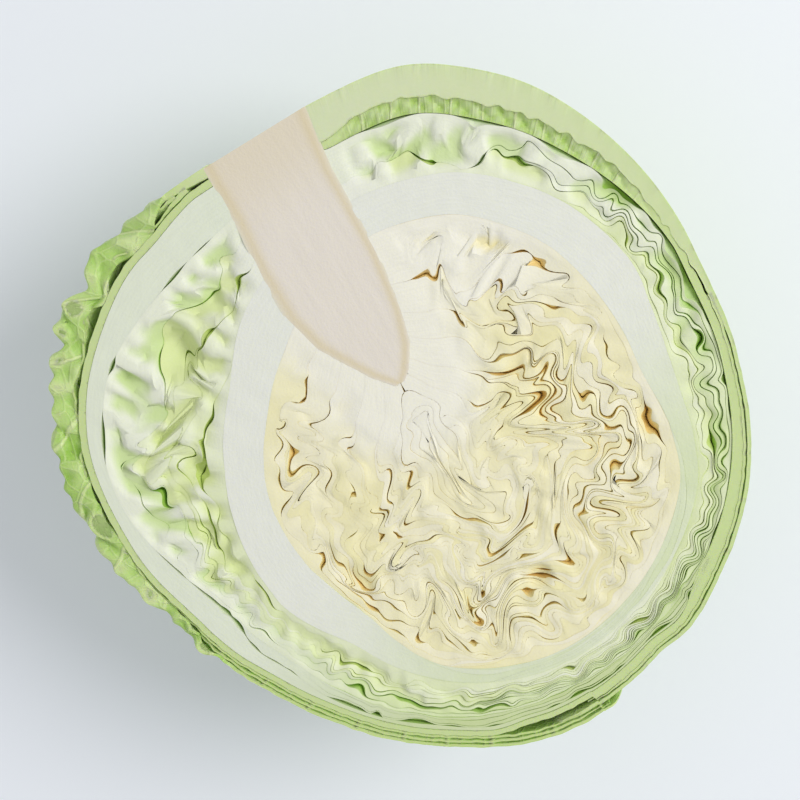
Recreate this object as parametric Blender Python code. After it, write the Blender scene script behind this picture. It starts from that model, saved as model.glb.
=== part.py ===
"""Half a head of green cabbage, cut lengthwise through its core and lying on its round back.

The flat cut face looks up (+Z) and the head rests on a small flat spot at the origin. The stem end of
the core points to -X +Y. Every leaf is a cupped shell that leaves the core, thick at its rib, and wraps
round the heart to a thin margin. The leaves are nested: each one takes its share of the room between
two rings, so they follow each other without touching.
"""

import math

import bmesh
import bpy
import numpy as np

MM = 0.001

# Driving sizes, in millimetres
CUT_HEIGHT = 84.0           # from the surface that the head lies on up to the cut face
HEART = (12.5, -15.2)       # the point that the leaves curl round, seen from the rest spot
REST_SPOT_ANGLE = 82.0      # the dome is flat from this angle below the cut face, in degrees
LEAF_GAP = 0.35             # least room between two leaves, and between a leaf and the core
THINNEST = 0.75             # least thickness of a leaf, measured towards the heart
MARGIN_ROOM = 0.55          # room inside a leaf near its margin, where the leaves lie close
BUD_SHARE = 0.12            # size of the heart bud, as a share of the whole head
BUD_STALK = 11.5            # the bud reaches this much further towards the core's tip
STALK_SPREAD = 15.0         # half width of that stalk, in degrees round the heart
STEM_LENGTH = 72.0
STEM_BASE = (-51.1, 84.1)   # middle of the stem's cut end, seen from the heart
STEM_TIP = (-14.0, 22.2)

# Half widths of the core on its left and right, at distances from its cut end
STEM_LEFT = ((0.0, 15.3), (16.0, 15.5), (30.0, 17.0), (44.0, 17.0), (54.0, 14.3), (60.0, 10.5), (67.0, 6.0))
STEM_RIGHT = ((0.0, 15.3), (16.0, 13.2), (40.0, 12.4), (56.0, 10.2), (64.0, 7.8), (70.0, 4.0))

# Rings round the heart: pairs of an angle in degrees, counted from +X, and a radius
OUTLINE = (
    (0, 74.7), (20, 76.5), (40, 80.5), (60, 90.0), (80, 99.5), (97, 103.5), (111, 99.5), (122, 98.5),
    (133, 100.5), (148, 107.5), (170, 107.5), (180, 105.0), (200, 93.0), (210, 85.5), (230, 78.0),
    (245, 75.4), (270, 74.0), (290, 75.2), (320, 72.8), (340, 72.6))
WRAP_RING = (
    (0, 69.5), (20, 72.0), (40, 76.5), (60, 84.0), (80, 89.5), (98, 91.5), (111, 88.5), (134, 85.0),
    (150, 88.0), (165, 93.5), (180, 92.0), (190, 87.0), (200, 79.0), (210, 72.5), (230, 67.0),
    (270, 66.0), (285, 65.0), (300, 64.5), (320, 65.0), (340, 67.0))
RIB_RING = (
    (0, 62.0), (20, 60.5), (30, 61.5), (40, 64.5), (50, 69.5), (70, 74.0), (90, 76.0), (111, 73.5),
    (145, 67.0), (160, 61.5), (180, 60.0), (220, 58.5), (240, 53.5), (266, 56.0), (300, 58.0), (320, 58.0),
    (340, 60.0))
HEART_RING = (
    (0, 57.5), (20, 54.5), (30, 53.5), (50, 57.5), (70, 62.5), (90, 65.5), (111, 63.5), (145, 53.0),
    (165, 50.0), (190, 49.0), (225, 45.0), (240, 44.5), (266, 52.0), (300, 54.5), (320, 55.0), (340, 56.0))

# Crumpled leaves: a smooth flow that moves each level sideways, and so never pushes leaves through
# each other. It dies out at the ribs and the core, and most of the way down into the head.
FOLD_COUNT = 26
FOLD_LENGTHS = (22.0, 42.0)
FOLD_TRAVEL = 4.2
FOLD_STEPS = 8
FOLD_SEED = 7
RUFFLE_LENGTH = 13.0        # of one ruffle of the outermost green leaf

# How free a leaf is to fold: full at this share of the loose leaves' width from their rings, and where
# they have more room than the first of the two widths, rising over the second
FOLD_RIM_SHARE = 0.35
FOLD_WIDTHS = (8.0, 14.0)
HEART_FOLD_DEPTH = 12.0
STEM_CALM = (17.0, 14.0)    # distance from the core's middle at which folds start, and the rise to full

STEM_AXIS = 122.0           # direction of the core seen from the heart, in degrees
STEP = 7.2                  # degrees between two sections of a leaf
WALL_LEVELS = (0.0, 10.0, 36.0, 60.0, 72.0, REST_SPOT_ANGLE)
INNER_LEVELS = (0.0, 10.0, 36.0, REST_SPOT_ANGLE)
OUTER_LEVELS = (0.0, 10.0, 23.0, 36.0)
OUTER_ROOM = 1.0            # between the outermost leaves and the back leaf
OUTER_BLADE = 1.3           # thickness of the ruffled leaf
BACK_THICKNESS = 1.2
BACK_INSET = 0.035          # the back leaf lies inside the outline by this share of its radius
LEFT_RIM = (3.3, 4.3)       # room outside the back leaf at the cut: plain part, and more where ruffled
RIGHT_RIM = (2.2, 8.0)      # the same on the right: plain part, and more at the thick rib
CROSSING_ROOM = 1.9         # more room where both outermost leaves overlap, and below the cut
CROSSING_BELOW = 2.4
CROSSING_INSET = 2.6        # the right outer leaf lies this far in where it passes under the left one
MARGIN_LEVELS = (43.0, 14.5, 2.0)   # outermost leaves end here: least, more amid the leaf, waves

# Leaves from the outside in. Each has a name, a side (1 leaves the core to the left and goes
# counterclockwise, -1 to the right), the angle that it reaches, its thickness at the rib and at the
# margin, the angles between which it slims, the room inside it, and a colour.
WRAPPER_LEAVES = (
    ("wrapper_left", 1, 215.0, 7.5, 1.1, (95.0, 150.0), 0.6, (0.80, 0.88, 0.62)),)
FILLER_LEAVES = (
    ("fold_left_1", 1, 222.0, 6.0, 0.9, (80.0, 140.0), 1.3, (0.86, 0.92, 0.70)),
    ("fold_right_1", -1, 205.0, 6.0, 0.9, (50.0, 115.0), 1.1, (0.84, 0.91, 0.66)),
    ("fold_left_2", 1, 206.0, 5.0, 0.9, (70.0, 130.0), 1.5, (0.88, 0.92, 0.74)),
    ("fold_right_2", -1, 192.0, 2.6, 0.9, (50.0, 110.0), 0.9, (0.86, 0.91, 0.70)),
    ("fold_left_3", 1, 214.0, 4.5, 0.9, (85.0, 135.0), 1.2, (0.90, 0.93, 0.78)),)
RIB_LEAVES = (
    ("rib_leaf_right", -1, 198.0, 11.0, 1.2, (66.0, 128.0), 0.6, (0.92, 0.94, 0.86)),
    ("rib_leaf_left", 1, 208.0, 11.0, 1.1, (98.0, 150.0), 0.6, (0.92, 0.94, 0.86)),)
HEART_LEAVES = (
    ("heart_right_1", -1, 210.0, 6.0, 1.3, (42.0, 80.0), 2.2, (0.94, 0.93, 0.82)),
    ("heart_left_1", 1, 225.0, 2.4, 1.3, (50.0, 120.0), 1.3, (0.94, 0.92, 0.78)),
    ("heart_right_2", -1, 225.0, 3.0, 1.3, (40.0, 110.0), 1.6, (0.94, 0.91, 0.76)),
    ("heart_left_2", 1, 210.0, 2.6, 1.3, (50.0, 120.0), 1.3, (0.94, 0.91, 0.75)),
    ("heart_right_3", -1, 225.0, 2.6, 1.3, (40.0, 110.0), 1.3, (0.94, 0.91, 0.74)),
    ("heart_left_3", 1, 225.0, 2.4, 1.3, (50.0, 110.0), 1.3, (0.94, 0.91, 0.73)),
    ("heart_right_4", -1, 210.0, 2.6, 1.3, (40.0, 100.0), 1.3, (0.95, 0.91, 0.72)),
    ("heart_left_4", 1, 225.0, 2.2, 1.3, (40.0, 100.0), 1.3, (0.95, 0.91, 0.71)),
    ("heart_right_5", -1, 210.0, 2.4, 1.3, (40.0, 100.0), 1.3, (0.95, 0.91, 0.70)),
    ("heart_left_5", 1, 210.0, 2.2, 1.3, (40.0, 100.0), 1.3, (0.95, 0.91, 0.69)),
    ("heart_right_6", -1, 195.0, 2.2, 1.3, (40.0, 100.0), 1.3, (0.95, 0.91, 0.68)),)

STEM_COLOUR = (0.80, 0.74, 0.64)
BUD_COLOUR = (0.93, 0.88, 0.60)
OUTER_LEFT_COLOUR = (0.36, 0.56, 0.14)
OUTER_RIGHT_COLOUR = (0.64, 0.76, 0.38)
BACK_COLOUR = (0.50, 0.68, 0.24)


def ease(value):
    """0 below 0, 1 above 1 and a smooth rise between."""
    value = np.clip(value, 0.0, 1.0)
    return value * value * (3.0 - 2.0 * value)


def ring(points):
    """Function that gives a ring's radius at any angle: straight between the points, then smoothed."""
    angles, radii = zip(*points)
    plain = np.interp(np.arange(-8, 368), angles, radii, period=360)
    weights = np.hanning(17)
    smooth = np.convolve(plain, weights / weights.sum(), "valid")
    return lambda angle: np.interp(angle, np.arange(360), smooth, period=360)


OUTLINE_AT = ring(OUTLINE)
WRAP_AT = ring(WRAP_RING)
RIB_AT = ring(RIB_RING)
HEART_AT = ring(HEART_RING)
DOME_DEPTH = CUT_HEIGHT / (1.0 - BACK_INSET)


def dome(angle, level, radius):
    """Point of a shell whose ring has this radius: a quarter arc from the cut face down to the back.

    All shells are the outline's dome drawn towards the heart, so larger radii lie outside smaller ones.
    """
    angle, level, radius = np.broadcast_arrays(angle, level, radius)
    outline = OUTLINE_AT(angle)
    share = radius / outline
    turn = np.radians(angle)
    down = np.radians(level)
    side = np.cos(down)
    x = HEART[0] + share * (side * (outline * np.cos(turn) + HEART[0]) - HEART[0])
    y = HEART[1] + share * (side * (outline * np.sin(turn) + HEART[1]) - HEART[1])
    z = CUT_HEIGHT - share * DOME_DEPTH * np.sin(down)
    return np.stack([x, y, z], axis=-1)


def fold_waves():
    """Seeded plane waves whose sum stirs the folds: wave numbers, phases and their change with depth."""
    rng = np.random.default_rng(FOLD_SEED)
    length = rng.uniform(*FOLD_LENGTHS, FOLD_COUNT)
    turn = rng.uniform(0.0, 2.0 * math.pi, FOLD_COUNT)
    number = 2.0 * math.pi / length
    waves = np.stack([number * np.cos(turn), number * np.sin(turn)], axis=-1)
    return waves, rng.uniform(0.0, 2.0 * math.pi, FOLD_COUNT), rng.uniform(-0.02, 0.02, FOLD_COUNT)


def loose(angle, radius):
    """How freely a ring can fold: 1 amid the thin leaves, 0 at the ribs, the core and the outside."""
    wrap, rib, heart = inside_wrapper(angle), RIB_AT(angle), HEART_AT(angle)
    width = wrap - rib
    filler = ease(np.minimum(wrap - radius, radius - rib) / (FOLD_RIM_SHARE * width))
    filler = filler * ease((width - FOLD_WIDTHS[0]) / FOLD_WIDTHS[1])
    inner = ease((heart - radius) / HEART_FOLD_DEPTH)
    base, tip = np.array(STEM_BASE), np.array(STEM_TIP)
    axis = (tip - base) / STEM_LENGTH
    x = radius * np.cos(np.radians(angle)) - base[0]
    y = radius * np.sin(np.radians(angle)) - base[1]
    along = np.clip(x * axis[0] + y * axis[1], -30.0, STEM_LENGTH - 12.0)
    from_stem = np.hypot(x - along * axis[0], y - along * axis[1])
    return np.maximum(filler, inner) * ease((from_stem - STEM_CALM[0]) / STEM_CALM[1])


def crumple(points, freedom, level):
    """Carry points along the folding flow, each as far as its leaf is free, and less the lower it lies."""
    waves, phases, drift = fold_waves()
    depth = CUT_HEIGHT - points[..., 2]
    phase = phases + depth[..., None] * drift
    pace = FOLD_TRAVEL / FOLD_STEPS * freedom * (1.0 - ease(level / REST_SPOT_ANGLE))
    numbers = np.linalg.norm(waves, axis=-1)
    moved = points.copy()
    for _ in range(FOLD_STEPS):
        swing = np.sin((moved[..., :2] - HEART) @ waves.T + phase) / numbers * math.sqrt(2.0 / FOLD_COUNT)
        moved[..., 0] += pace * (swing @ waves[:, 1])
        moved[..., 1] -= pace * (swing @ waves[:, 0])
    return moved


def leaf_shares(leaves, angle):
    """Thickness and inner room of each leaf of a zone at each angle, before they are fitted to it."""
    shares = []
    for _, side, reach, rib, blade, slims, room, _ in leaves:
        turned = (side * (angle - STEM_AXIS)) % 360.0
        slim = ease((turned - slims[0]) / (slims[1] - slims[0]))
        there = 1.0 - ease((turned - reach) / 14.0)
        shares.append(((rib + (blade - rib) * slim) * there, (room + (MARGIN_ROOM - room) * slim) * there))
    return shares


def leaf_places(leaves, index, angle, width):
    """Where one leaf's faces lie in its zone: 0 at the zone's outer ring and 1 at its inner one."""
    shares = leaf_shares(leaves, angle)
    total = sum(thickness + room for thickness, room in shares)
    before = sum((thickness + room for thickness, room in shares[:index]), np.zeros_like(angle))
    thickness, room = shares[index]
    top = before / total
    below = top + (thickness + room) / total
    thick = np.maximum(thickness / total, THINNEST / width)
    return top, np.minimum(top + thick, below - LEAF_GAP / width)


def zone_radius(ring_at, angle, level):
    """Radius of a zone's ring for the arc of a shell: its own near the cut face, evened out below."""
    outline = OUTLINE_AT(angle)
    own = ring_at(angle) / outline
    turns = np.arange(0.0, 360.0, STEP)
    even = (ring_at(turns) / OUTLINE_AT(turns)).mean()
    return outline * (own + (even - own) * ease((level - 15.0) / 65.0))


def closed_mesh(name, outside, inside, all_round=False):
    """Object from two grids of points, an outer and an inner one, joined all round their edge.

    Rows run round the head, counterclockwise for every leaf, and columns go down. All faces are split
    into triangles alike, so that neighbours whose faces twist don't meet. A leaf that goes all_round
    has its last row joined to its first, and its last column is a single point.
    """
    rows, columns = outside.shape[:2]
    count = rows * columns
    index = np.arange(count).reshape(rows, columns)
    if all_round:
        index = np.vstack([index, index[:1]])
    a, b, c, d = index[:-1, :-1], index[1:, :-1], index[1:, 1:], index[:-1, 1:]
    one = np.stack([a, d, b], axis=-1).reshape(-1, 3)
    two = np.stack([b, d, c], axis=-1).reshape(-1, 3)
    face = np.vstack([one, two])
    edges = [index[:, 0]]
    if not all_round:
        edges += [index[:, -1], index[0, :], index[-1, :]]
    walls = []
    for edge in edges:
        start, end = edge[:-1], edge[1:]
        walls.append(np.stack([start, end, end + count], axis=-1))
        walls.append(np.stack([start, end + count, start + count], axis=-1))
    faces = np.vstack([face, face[:, ::-1] + count] + walls)
    points = np.concatenate([outside.reshape(-1, 3), inside.reshape(-1, 3)]) * MM
    mesh = bpy.data.meshes.new(name)
    mesh.from_pydata(points.tolist(), [], faces.tolist())
    leaf = bpy.data.objects.new(name, mesh)
    tidy_mesh(leaf)
    return leaf


def tidy_mesh(item):
    """Merge points that fall together, such as the pole of a dome, and turn every face outwards."""
    work = bmesh.new()
    work.from_mesh(item.data)
    bmesh.ops.remove_doubles(work, verts=work.verts, dist=0.01 * MM)
    bmesh.ops.recalc_face_normals(work, faces=work.faces)
    if work.calc_volume(signed=True) < 0.0:
        bmesh.ops.reverse_faces(work, faces=work.faces)
    work.to_mesh(item.data)
    work.free()


def paint(item, colour, roughness):
    """Give an object its own plain material."""
    material = bpy.data.materials.new(item.name)
    material.use_nodes = True
    shader = material.node_tree.nodes["Principled BSDF"]
    shader.inputs["Base Color"].default_value = (*colour, 1.0)
    shader.inputs["Roughness"].default_value = roughness
    shader.inputs["Metallic"].default_value = 0.0
    item.data.materials.append(material)


def stem_sections(grow, above, beyond):
    """Half ovals across the core from its cut end to its tip, grown all round by a distance."""
    base, tip = np.array(STEM_BASE), np.array(STEM_TIP)
    axis = (tip - base) / STEM_LENGTH
    across = np.array([axis[1], -axis[0]])
    places = np.array([0.0, 8.0, 18.0, 30.0, 42.0, 51.0, 58.0, 63.0, 67.5, 71.0])
    spread = np.linspace(0.0, math.pi, 13)
    sections = []
    for place in places:
        left = np.interp(place, *zip(*STEM_LEFT, (STEM_LENGTH, 1.5)))
        right = np.interp(place, *zip(*STEM_RIGHT, (STEM_LENGTH, 1.5)))
        wide = np.where(np.cos(spread) > 0.0, left, right) + grow
        deep = 0.5 * (left + right) + grow
        side = wide * np.cos(spread)
        down = deep * np.sin(spread)
        if above > 0.0:
            side = np.concatenate([side[:1], side, side[-1:]])
            down = np.concatenate([[-above], down, [-above]])
        middle = np.array(HEART) + base + (place + grow * (place == places[-1])) * axis
        spot = middle + side[:, None] * across
        sections.append(np.column_stack([spot, CUT_HEIGHT - down]))
    if beyond > 0.0:
        sections.insert(0, sections[0] - beyond * np.array([*axis, 0.0]))
    return sections


def loft(name, sections):
    """Closed object through a row of sections with the same number of points, with flat ends."""
    work = bmesh.new()
    rings = []
    for section in sections:
        rings.append([work.verts.new(point * MM) for point in section])
    for near, far in zip(rings, rings[1:]):
        for first in range(len(near)):
            second = (first + 1) % len(near)
            work.faces.new((near[first], near[second], far[second], far[first]))
    work.faces.new(rings[0])
    work.faces.new(rings[-1][::-1])
    bmesh.ops.triangulate(work, faces=work.faces)
    mesh = bpy.data.meshes.new(name)
    work.to_mesh(mesh)
    work.free()
    item = bpy.data.objects.new(name, mesh)
    tidy_mesh(item)
    return item


def seam_shift(angle, side):
    """Keep a leaf's first section off the seam under the core, where left and right leaves meet."""
    return np.where(np.arange(len(angle)) == 0, angle + side * 0.6, angle)


def shell_leaf(leaves, index, outer_ring, inner_ring, levels):
    """One nested leaf of a zone between two rings."""
    name, side, reach = leaves[index][:3]
    angle = seam_shift(STEM_AXIS + side * np.arange(0.0, reach + 0.1, STEP), side)
    width = outer_ring(angle) - inner_ring(angle)
    places = leaf_places(leaves, index, angle, width)
    angle, level = np.meshgrid(angle, levels, indexing="ij")
    outer = zone_radius(outer_ring, angle, level)
    inner = zone_radius(inner_ring, angle, level)
    faces = []
    for place in places:
        radius = outer - place[:, None] * (outer - inner)
        points = crumple(dome(angle, level, radius), loose(angle, radius[:, :1]), level)
        faces.append(points[::side])
    leaf = closed_mesh(name, *faces)
    paint(leaf, leaves[index][-1], 0.5)
    return leaf


def outer_margin(angle, side, reach):
    """Angle below the cut face at which an outermost leaf ends: deep amid the leaf, with slow waves."""
    turned = side * (angle - STEM_AXIS)
    free = ease((reach - turned) / 70.0)
    least, deeper, waves = MARGIN_LEVELS
    return least + deeper * free + waves * np.sin(np.radians(turned * 6.0)) * free


def outer_leaf(name, side, turns, faces, colour):
    """An outermost leaf, whose margin lies on the back of the head."""
    angle = seam_shift(STEM_AXIS + side * turns, side)[:, None]
    margin = outer_margin(angle, side, turns[-1])
    levels = np.hstack([0.0 * margin + OUTER_LEVELS, 0.5 * (OUTER_LEVELS[-1] + margin), margin])
    outer, inner = faces(angle, levels)
    leaf = closed_mesh(name, dome(angle, levels, outer)[::side], dome(angle, levels, inner)[::side])
    paint(leaf, colour, 0.45)
    return leaf


def ruffle(angle):
    """Sideways wave of the green leaf on the left, which dies out at its rib and towards its margin."""
    along = np.radians(angle - 136.0) * 102.0
    fade = ease((angle - 137.0) / 12.0) * ease((240.0 - angle) / 40.0)
    return fade * np.sin(2.0 * math.pi * along / RUFFLE_LENGTH)


def crossing(angle):
    """1 where the end of the right outer leaf lies under the end of the left one, 0 elsewhere."""
    turned = (angle - STEM_AXIS) % 360.0
    return ease((turned - 156.0) / 10.0) * (1.0 - ease((turned - 196.0) / 10.0))


def back_outside(angle, level):
    """Outer face of the back leaf: inside both outermost leaves at the cut face, near them below."""
    outline = OUTLINE_AT(angle)
    left = (angle - STEM_AXIS) % 360.0
    right = 360.0 - left
    ruffled = ease((left - 10.0) / 14.0) * ease((103.0 - left) / 45.0)
    by_left = LEFT_RIM[0] + LEFT_RIM[1] * ruffled
    rib = ease(right / 11.0) * (1.0 - ease((right - 35.0) / 50.0))
    by_right = RIGHT_RIM[0] + RIGHT_RIM[1] * rib
    at_rim = outline - np.where(left < 180.0, by_left, by_right) - CROSSING_ROOM * crossing(angle)
    below = outline * (1.0 - BACK_INSET)
    below = below - CROSSING_BELOW * crossing(angle) * (1.0 - ease((level - 62.0) / 18.0))
    return at_rim + (below - at_rim) * ease((level - 8.0) / 70.0)


def left_faces(angle, level):
    """Outer and inner face of the ruffled leaf, amid the room outside the back leaf."""
    room = OUTLINE_AT(angle) - back_outside(angle, level) - OUTER_ROOM
    room = room - CROSSING_ROOM * crossing(angle)
    middle = OUTLINE_AT(angle) - 0.5 * room + 0.5 * np.maximum(room - OUTER_BLADE, 0.0) * ruffle(angle)
    return middle + 0.5 * OUTER_BLADE, middle - 0.5 * OUTER_BLADE


def right_faces(angle, level):
    """Outer and inner face of the right leaf, which fills the room outside the back leaf."""
    outside = OUTLINE_AT(angle) - CROSSING_INSET * crossing(angle)
    return outside, back_outside(angle, level) + OUTER_ROOM


def back_leaf():
    """The leaf that goes all the way round and holds the flat spot that the head rests on."""
    angle = (STEM_AXIS + np.arange(0.0, 360.0, STEP))[:, None]
    levels = np.array([*WALL_LEVELS, 90.0])[None, :]
    radius = back_outside(angle, levels)
    even = OUTLINE_AT(angle) / OUTLINE_AT(np.arange(360)).mean()
    thickness = BACK_THICKNESS * (1.0 + (even - 1.0) * ease(levels / REST_SPOT_ANGLE))
    outside = dome(angle, levels, radius)
    inside = dome(angle, levels, radius - thickness)
    outside[:, levels[0] >= REST_SPOT_ANGLE, 2] = 0.0
    leaf = closed_mesh("back_leaf", outside, inside, all_round=True)
    paint(leaf, BACK_COLOUR, 0.45)
    return leaf


def inside_back(angle):
    """Ring just inside the back leaf, wherever that leaf lies closest to the heart."""
    nearest = np.min([back_outside(angle, level) for level in WALL_LEVELS], axis=0)
    return nearest - BACK_THICKNESS * OUTLINE_AT(angle) / 74.0 - LEAF_GAP


def inside_wrapper(angle):
    """Ring inside the left wrapper leaf, and inside the back leaf where that wrapper doesn't reach."""
    return np.minimum(WRAP_AT(angle), inside_back(angle))


def bud_ring(angle):
    """Ring of the heart bud, with a stalk that meets the tip of the core."""
    turned = (angle - STEM_AXIS + 180.0) % 360.0 - 180.0
    return BUD_SHARE * OUTLINE_AT(angle) + BUD_STALK * np.exp(-(turned / STALK_SPREAD) ** 2)


def around_bud(angle):
    """Ring just outside the heart bud."""
    return bud_ring(angle) + 0.5


def bud():
    """The dense heart bud: a small dome, flat at the cut face."""
    angle = STEM_AXIS + np.arange(0.0, 360.0, STEP)
    angle, level = np.meshgrid(angle, [*INNER_LEVELS, 90.0], indexing="ij")
    radius = zone_radius(bud_ring, angle, level)
    outside = crumple(dome(angle, level, radius), loose(angle, radius[:, :1]), level)
    middle = np.broadcast_to([*HEART, CUT_HEIGHT], outside.shape)
    item = closed_mesh("heart_bud", outside, middle, all_round=True)
    paint(item, BUD_COLOUR, 0.55)
    return item


def main():
    for old in list(bpy.data.objects):
        bpy.data.objects.remove(old, do_unlink=True)
    cabbage = bpy.data.collections.new("cabbage_half")
    cutters = bpy.data.collections.new("cutters")
    bpy.context.scene.collection.children.link(cabbage)
    bpy.context.scene.collection.children.link(cutters)

    stem = loft("stem_core", stem_sections(0.0, 0.0, 0.0))
    paint(stem, STEM_COLOUR, 0.6)
    cutter = loft("stem_room", stem_sections(LEAF_GAP, 6.0, 25.0))
    cutter.hide_render = True
    cutter.display_type = "WIRE"
    cutters.objects.link(cutter)

    ruffled = STEP * np.array([0.0, 1.0, *np.arange(2.0, 15.0, 1.0 / 3.0), *np.arange(15.0, 27.0)])
    plain = STEP * np.arange(0.0, 28.0)
    leaves = [
        back_leaf(),
        outer_leaf("outer_leaf_left", 1, ruffled, left_faces, OUTER_LEFT_COLOUR),
        outer_leaf("outer_leaf_right", -1, plain, right_faces, OUTER_RIGHT_COLOUR)]
    zones = (
        (WRAPPER_LEAVES, inside_back, WRAP_AT),
        (FILLER_LEAVES, inside_wrapper, RIB_AT),
        (RIB_LEAVES, RIB_AT, HEART_AT),
        (HEART_LEAVES, HEART_AT, around_bud))
    for zone, outer_ring, inner_ring in zones:
        for index in range(len(zone)):
            leaves.append(shell_leaf(zone, index, outer_ring, inner_ring, INNER_LEVELS))
    leaves.append(bud())
    for leaf in leaves:
        trim = leaf.modifiers.new("room_for_stem", "BOOLEAN")
        trim.operation = "DIFFERENCE"
        trim.solver = "EXACT"
        trim.object = cutter
        cabbage.objects.link(leaf)
    cabbage.objects.link(stem)


main()
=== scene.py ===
"""Half a head of green cabbage, cut lengthwise through its core, dressed for a photograph.

The leaves repeat the shells of the solids: each one follows the rings round the heart and is divided
into thin folds. A smooth swirling flow then crumples the folds of the heart and of the loose leaves,
which can't push them through each other, and small openings part them as in the real head.
"""

import logging
import math
from dataclasses import dataclass, field
from enum import Enum
from typing import Callable

import bpy
import numpy as np
from mathutils import Matrix, Vector


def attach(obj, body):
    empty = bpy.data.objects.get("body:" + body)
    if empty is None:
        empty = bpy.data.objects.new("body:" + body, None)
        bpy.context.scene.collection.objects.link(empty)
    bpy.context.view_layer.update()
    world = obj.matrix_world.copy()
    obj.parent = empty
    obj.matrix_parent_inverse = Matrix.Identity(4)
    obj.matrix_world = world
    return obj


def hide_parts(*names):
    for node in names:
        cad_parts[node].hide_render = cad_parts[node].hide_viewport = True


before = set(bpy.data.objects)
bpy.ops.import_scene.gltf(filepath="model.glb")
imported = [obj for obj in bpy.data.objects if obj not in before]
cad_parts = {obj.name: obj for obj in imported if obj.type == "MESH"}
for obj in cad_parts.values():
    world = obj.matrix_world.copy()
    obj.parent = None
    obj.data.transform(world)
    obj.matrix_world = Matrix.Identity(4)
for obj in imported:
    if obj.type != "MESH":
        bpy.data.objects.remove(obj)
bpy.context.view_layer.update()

MM = 0.001
RingPoints = tuple[tuple[float, float], ...]
Ring = Callable[[np.ndarray], np.ndarray]
Numbers = np.ndarray | float
log = logging.getLogger("cabbage")


def ease(value: Numbers) -> np.ndarray:
    """Smooth step: v * v * (3 - 2v), with v kept between 0 and 1."""
    value = np.clip(value, 0.0, 1.0)
    return value * value * (3.0 - 2.0 * value)


def off_angle(angle: np.ndarray, middle: float) -> np.ndarray:
    """Turn from one angle to others, from -180 to 180 degrees."""
    return (angle - middle + 180.0) % 360.0 - 180.0


def stacked(*parts: Numbers) -> np.ndarray:
    """Numbers broadcast to one shape and stacked as vectors."""
    return np.stack(np.broadcast_arrays(*parts), axis=-1)


def ring(points: RingPoints) -> Ring:
    """Ring round the heart: straight between its points, then smoothed over about 17 degrees.

    Args:
        points: pairs of an angle in degrees and a radius in millimetres.

    Returns:
        Function that gives the radius at any angle.
    """
    angles, radii = zip(*points)
    plain = np.interp(np.arange(-8, 368), angles, radii, period=360)
    weights = np.hanning(17)
    smooth = np.convolve(plain, weights / weights.sum(), "valid")
    return lambda angle: np.interp(angle, np.arange(360), smooth, period=360)


def wander(rng: np.random.Generator, knots: float, angle: np.ndarray) -> np.ndarray:
    """Smooth seeded noise round a circle: random values at even knots, eased from each to the next.

    Args:
        rng: the source of the values.
        knots: how many values there are on the circle.
        angle: where to read it, in degrees.

    Returns:
        Numbers from -1 to 1.
    """
    count = max(3, int(knots))
    values = rng.uniform(-1.0, 1.0, count)
    spot = (angle / 360.0 * count) % count
    low = np.floor(spot).astype(int) % count
    share = ease(spot - np.floor(spot))
    return values[low] * (1.0 - share) + values[(low + 1) % count] * share


class Zone(Enum):
    """The four nests of leaves between the back leaf and the heart bud, and the bud itself."""

    WRAPPER = 0
    FILLER = 1
    RIB = 2
    HEART = 3
    BUD = 4


@dataclass(frozen=True)
class LeafPlan:
    """A nested leaf: which way it leaves the core, how far it reaches and how thick it is.

    side is 1 for counterclockwise and -1 for clockwise. Sizes are in millimetres and degrees. The leaf
    slims from its rib to its blade between two angles, and is gathered into a number of folds that part
    from each other past the angle split.
    """

    name: str
    zone: Zone
    side: int
    reach: float
    rib: float
    blade: float
    slims: tuple[float, float]
    room: float
    folds: int = 1
    split: float = 24.0

    def slimmed(self, turned: np.ndarray) -> np.ndarray:
        """0 where the leaf is its rib, 1 where it is its blade."""
        return ease((turned - self.slims[0]) / (self.slims[1] - self.slims[0]))


@dataclass(frozen=True)
class Opening:
    """A gap between two folds, seen on the cut face: where it is round the heart, and its size in mm."""

    angle: float
    radius: float
    half_length: float
    width: float
    depth: float


@dataclass(frozen=True)
class Pit:
    """A smooth hollow in the cut face, where the leaves sag: its middle, its half sizes and its depth."""

    angle: float
    radius: float
    half_angle: float
    half_radius: float
    depth: float

    def at(self, angle: np.ndarray, radius: np.ndarray) -> np.ndarray:
        """Depth at a place: depth * (1 - off ^ 2) ^ 2, where off is the distance in half sizes."""
        off = (off_angle(angle, self.angle) / self.half_angle) ** 2
        off = off + ((radius - self.radius) / self.half_radius) ** 2
        return self.depth * np.clip(1.0 - off, 0.0, 1.0) ** 2


# The pits that stand out in the photo, each as angle, radius, half angle, half radius and depth
PITS = tuple(Pit(*row) for row in (
    (158.0, 78.0, 6.5, 8.0, 5.2), (165.5, 88.0, 2.4, 3.0, 1.8), (176.0, 77.0, 4.0, 5.0, 1.6),
    (187.0, 76.0, 4.5, 5.0, 2.6), (180.0, 68.0, 3.0, 3.5, 1.8), (146.0, 77.0, 4.0, 4.5, 1.8),
    (170.0, 68.0, 5.0, 4.0, 1.2), (196.0, 67.0, 4.0, 3.0, 1.8), (82.0, 58.5, 8.0, 3.2, 2.4),
    (97.0, 60.0, 4.0, 2.0, 1.6), (100.0, 82.0, 6.0, 4.0, 1.2), (38.0, 29.0, 14.0, 5.0, 1.3),
    (60.0, 31.0, 9.0, 4.0, 1.2), (309.0, 35.0, 7.0, 4.0, 1.8), (16.0, 50.0, 8.0, 3.0, 1.5),
    (60.0, 81.0, 7.0, 3.5, 1.6), (44.0, 75.0, 6.0, 3.5, 1.6), (150.0, 33.0, 10.0, 5.0, 0.8),
    (230.0, 38.0, 10.0, 4.0, 0.9)))


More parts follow.
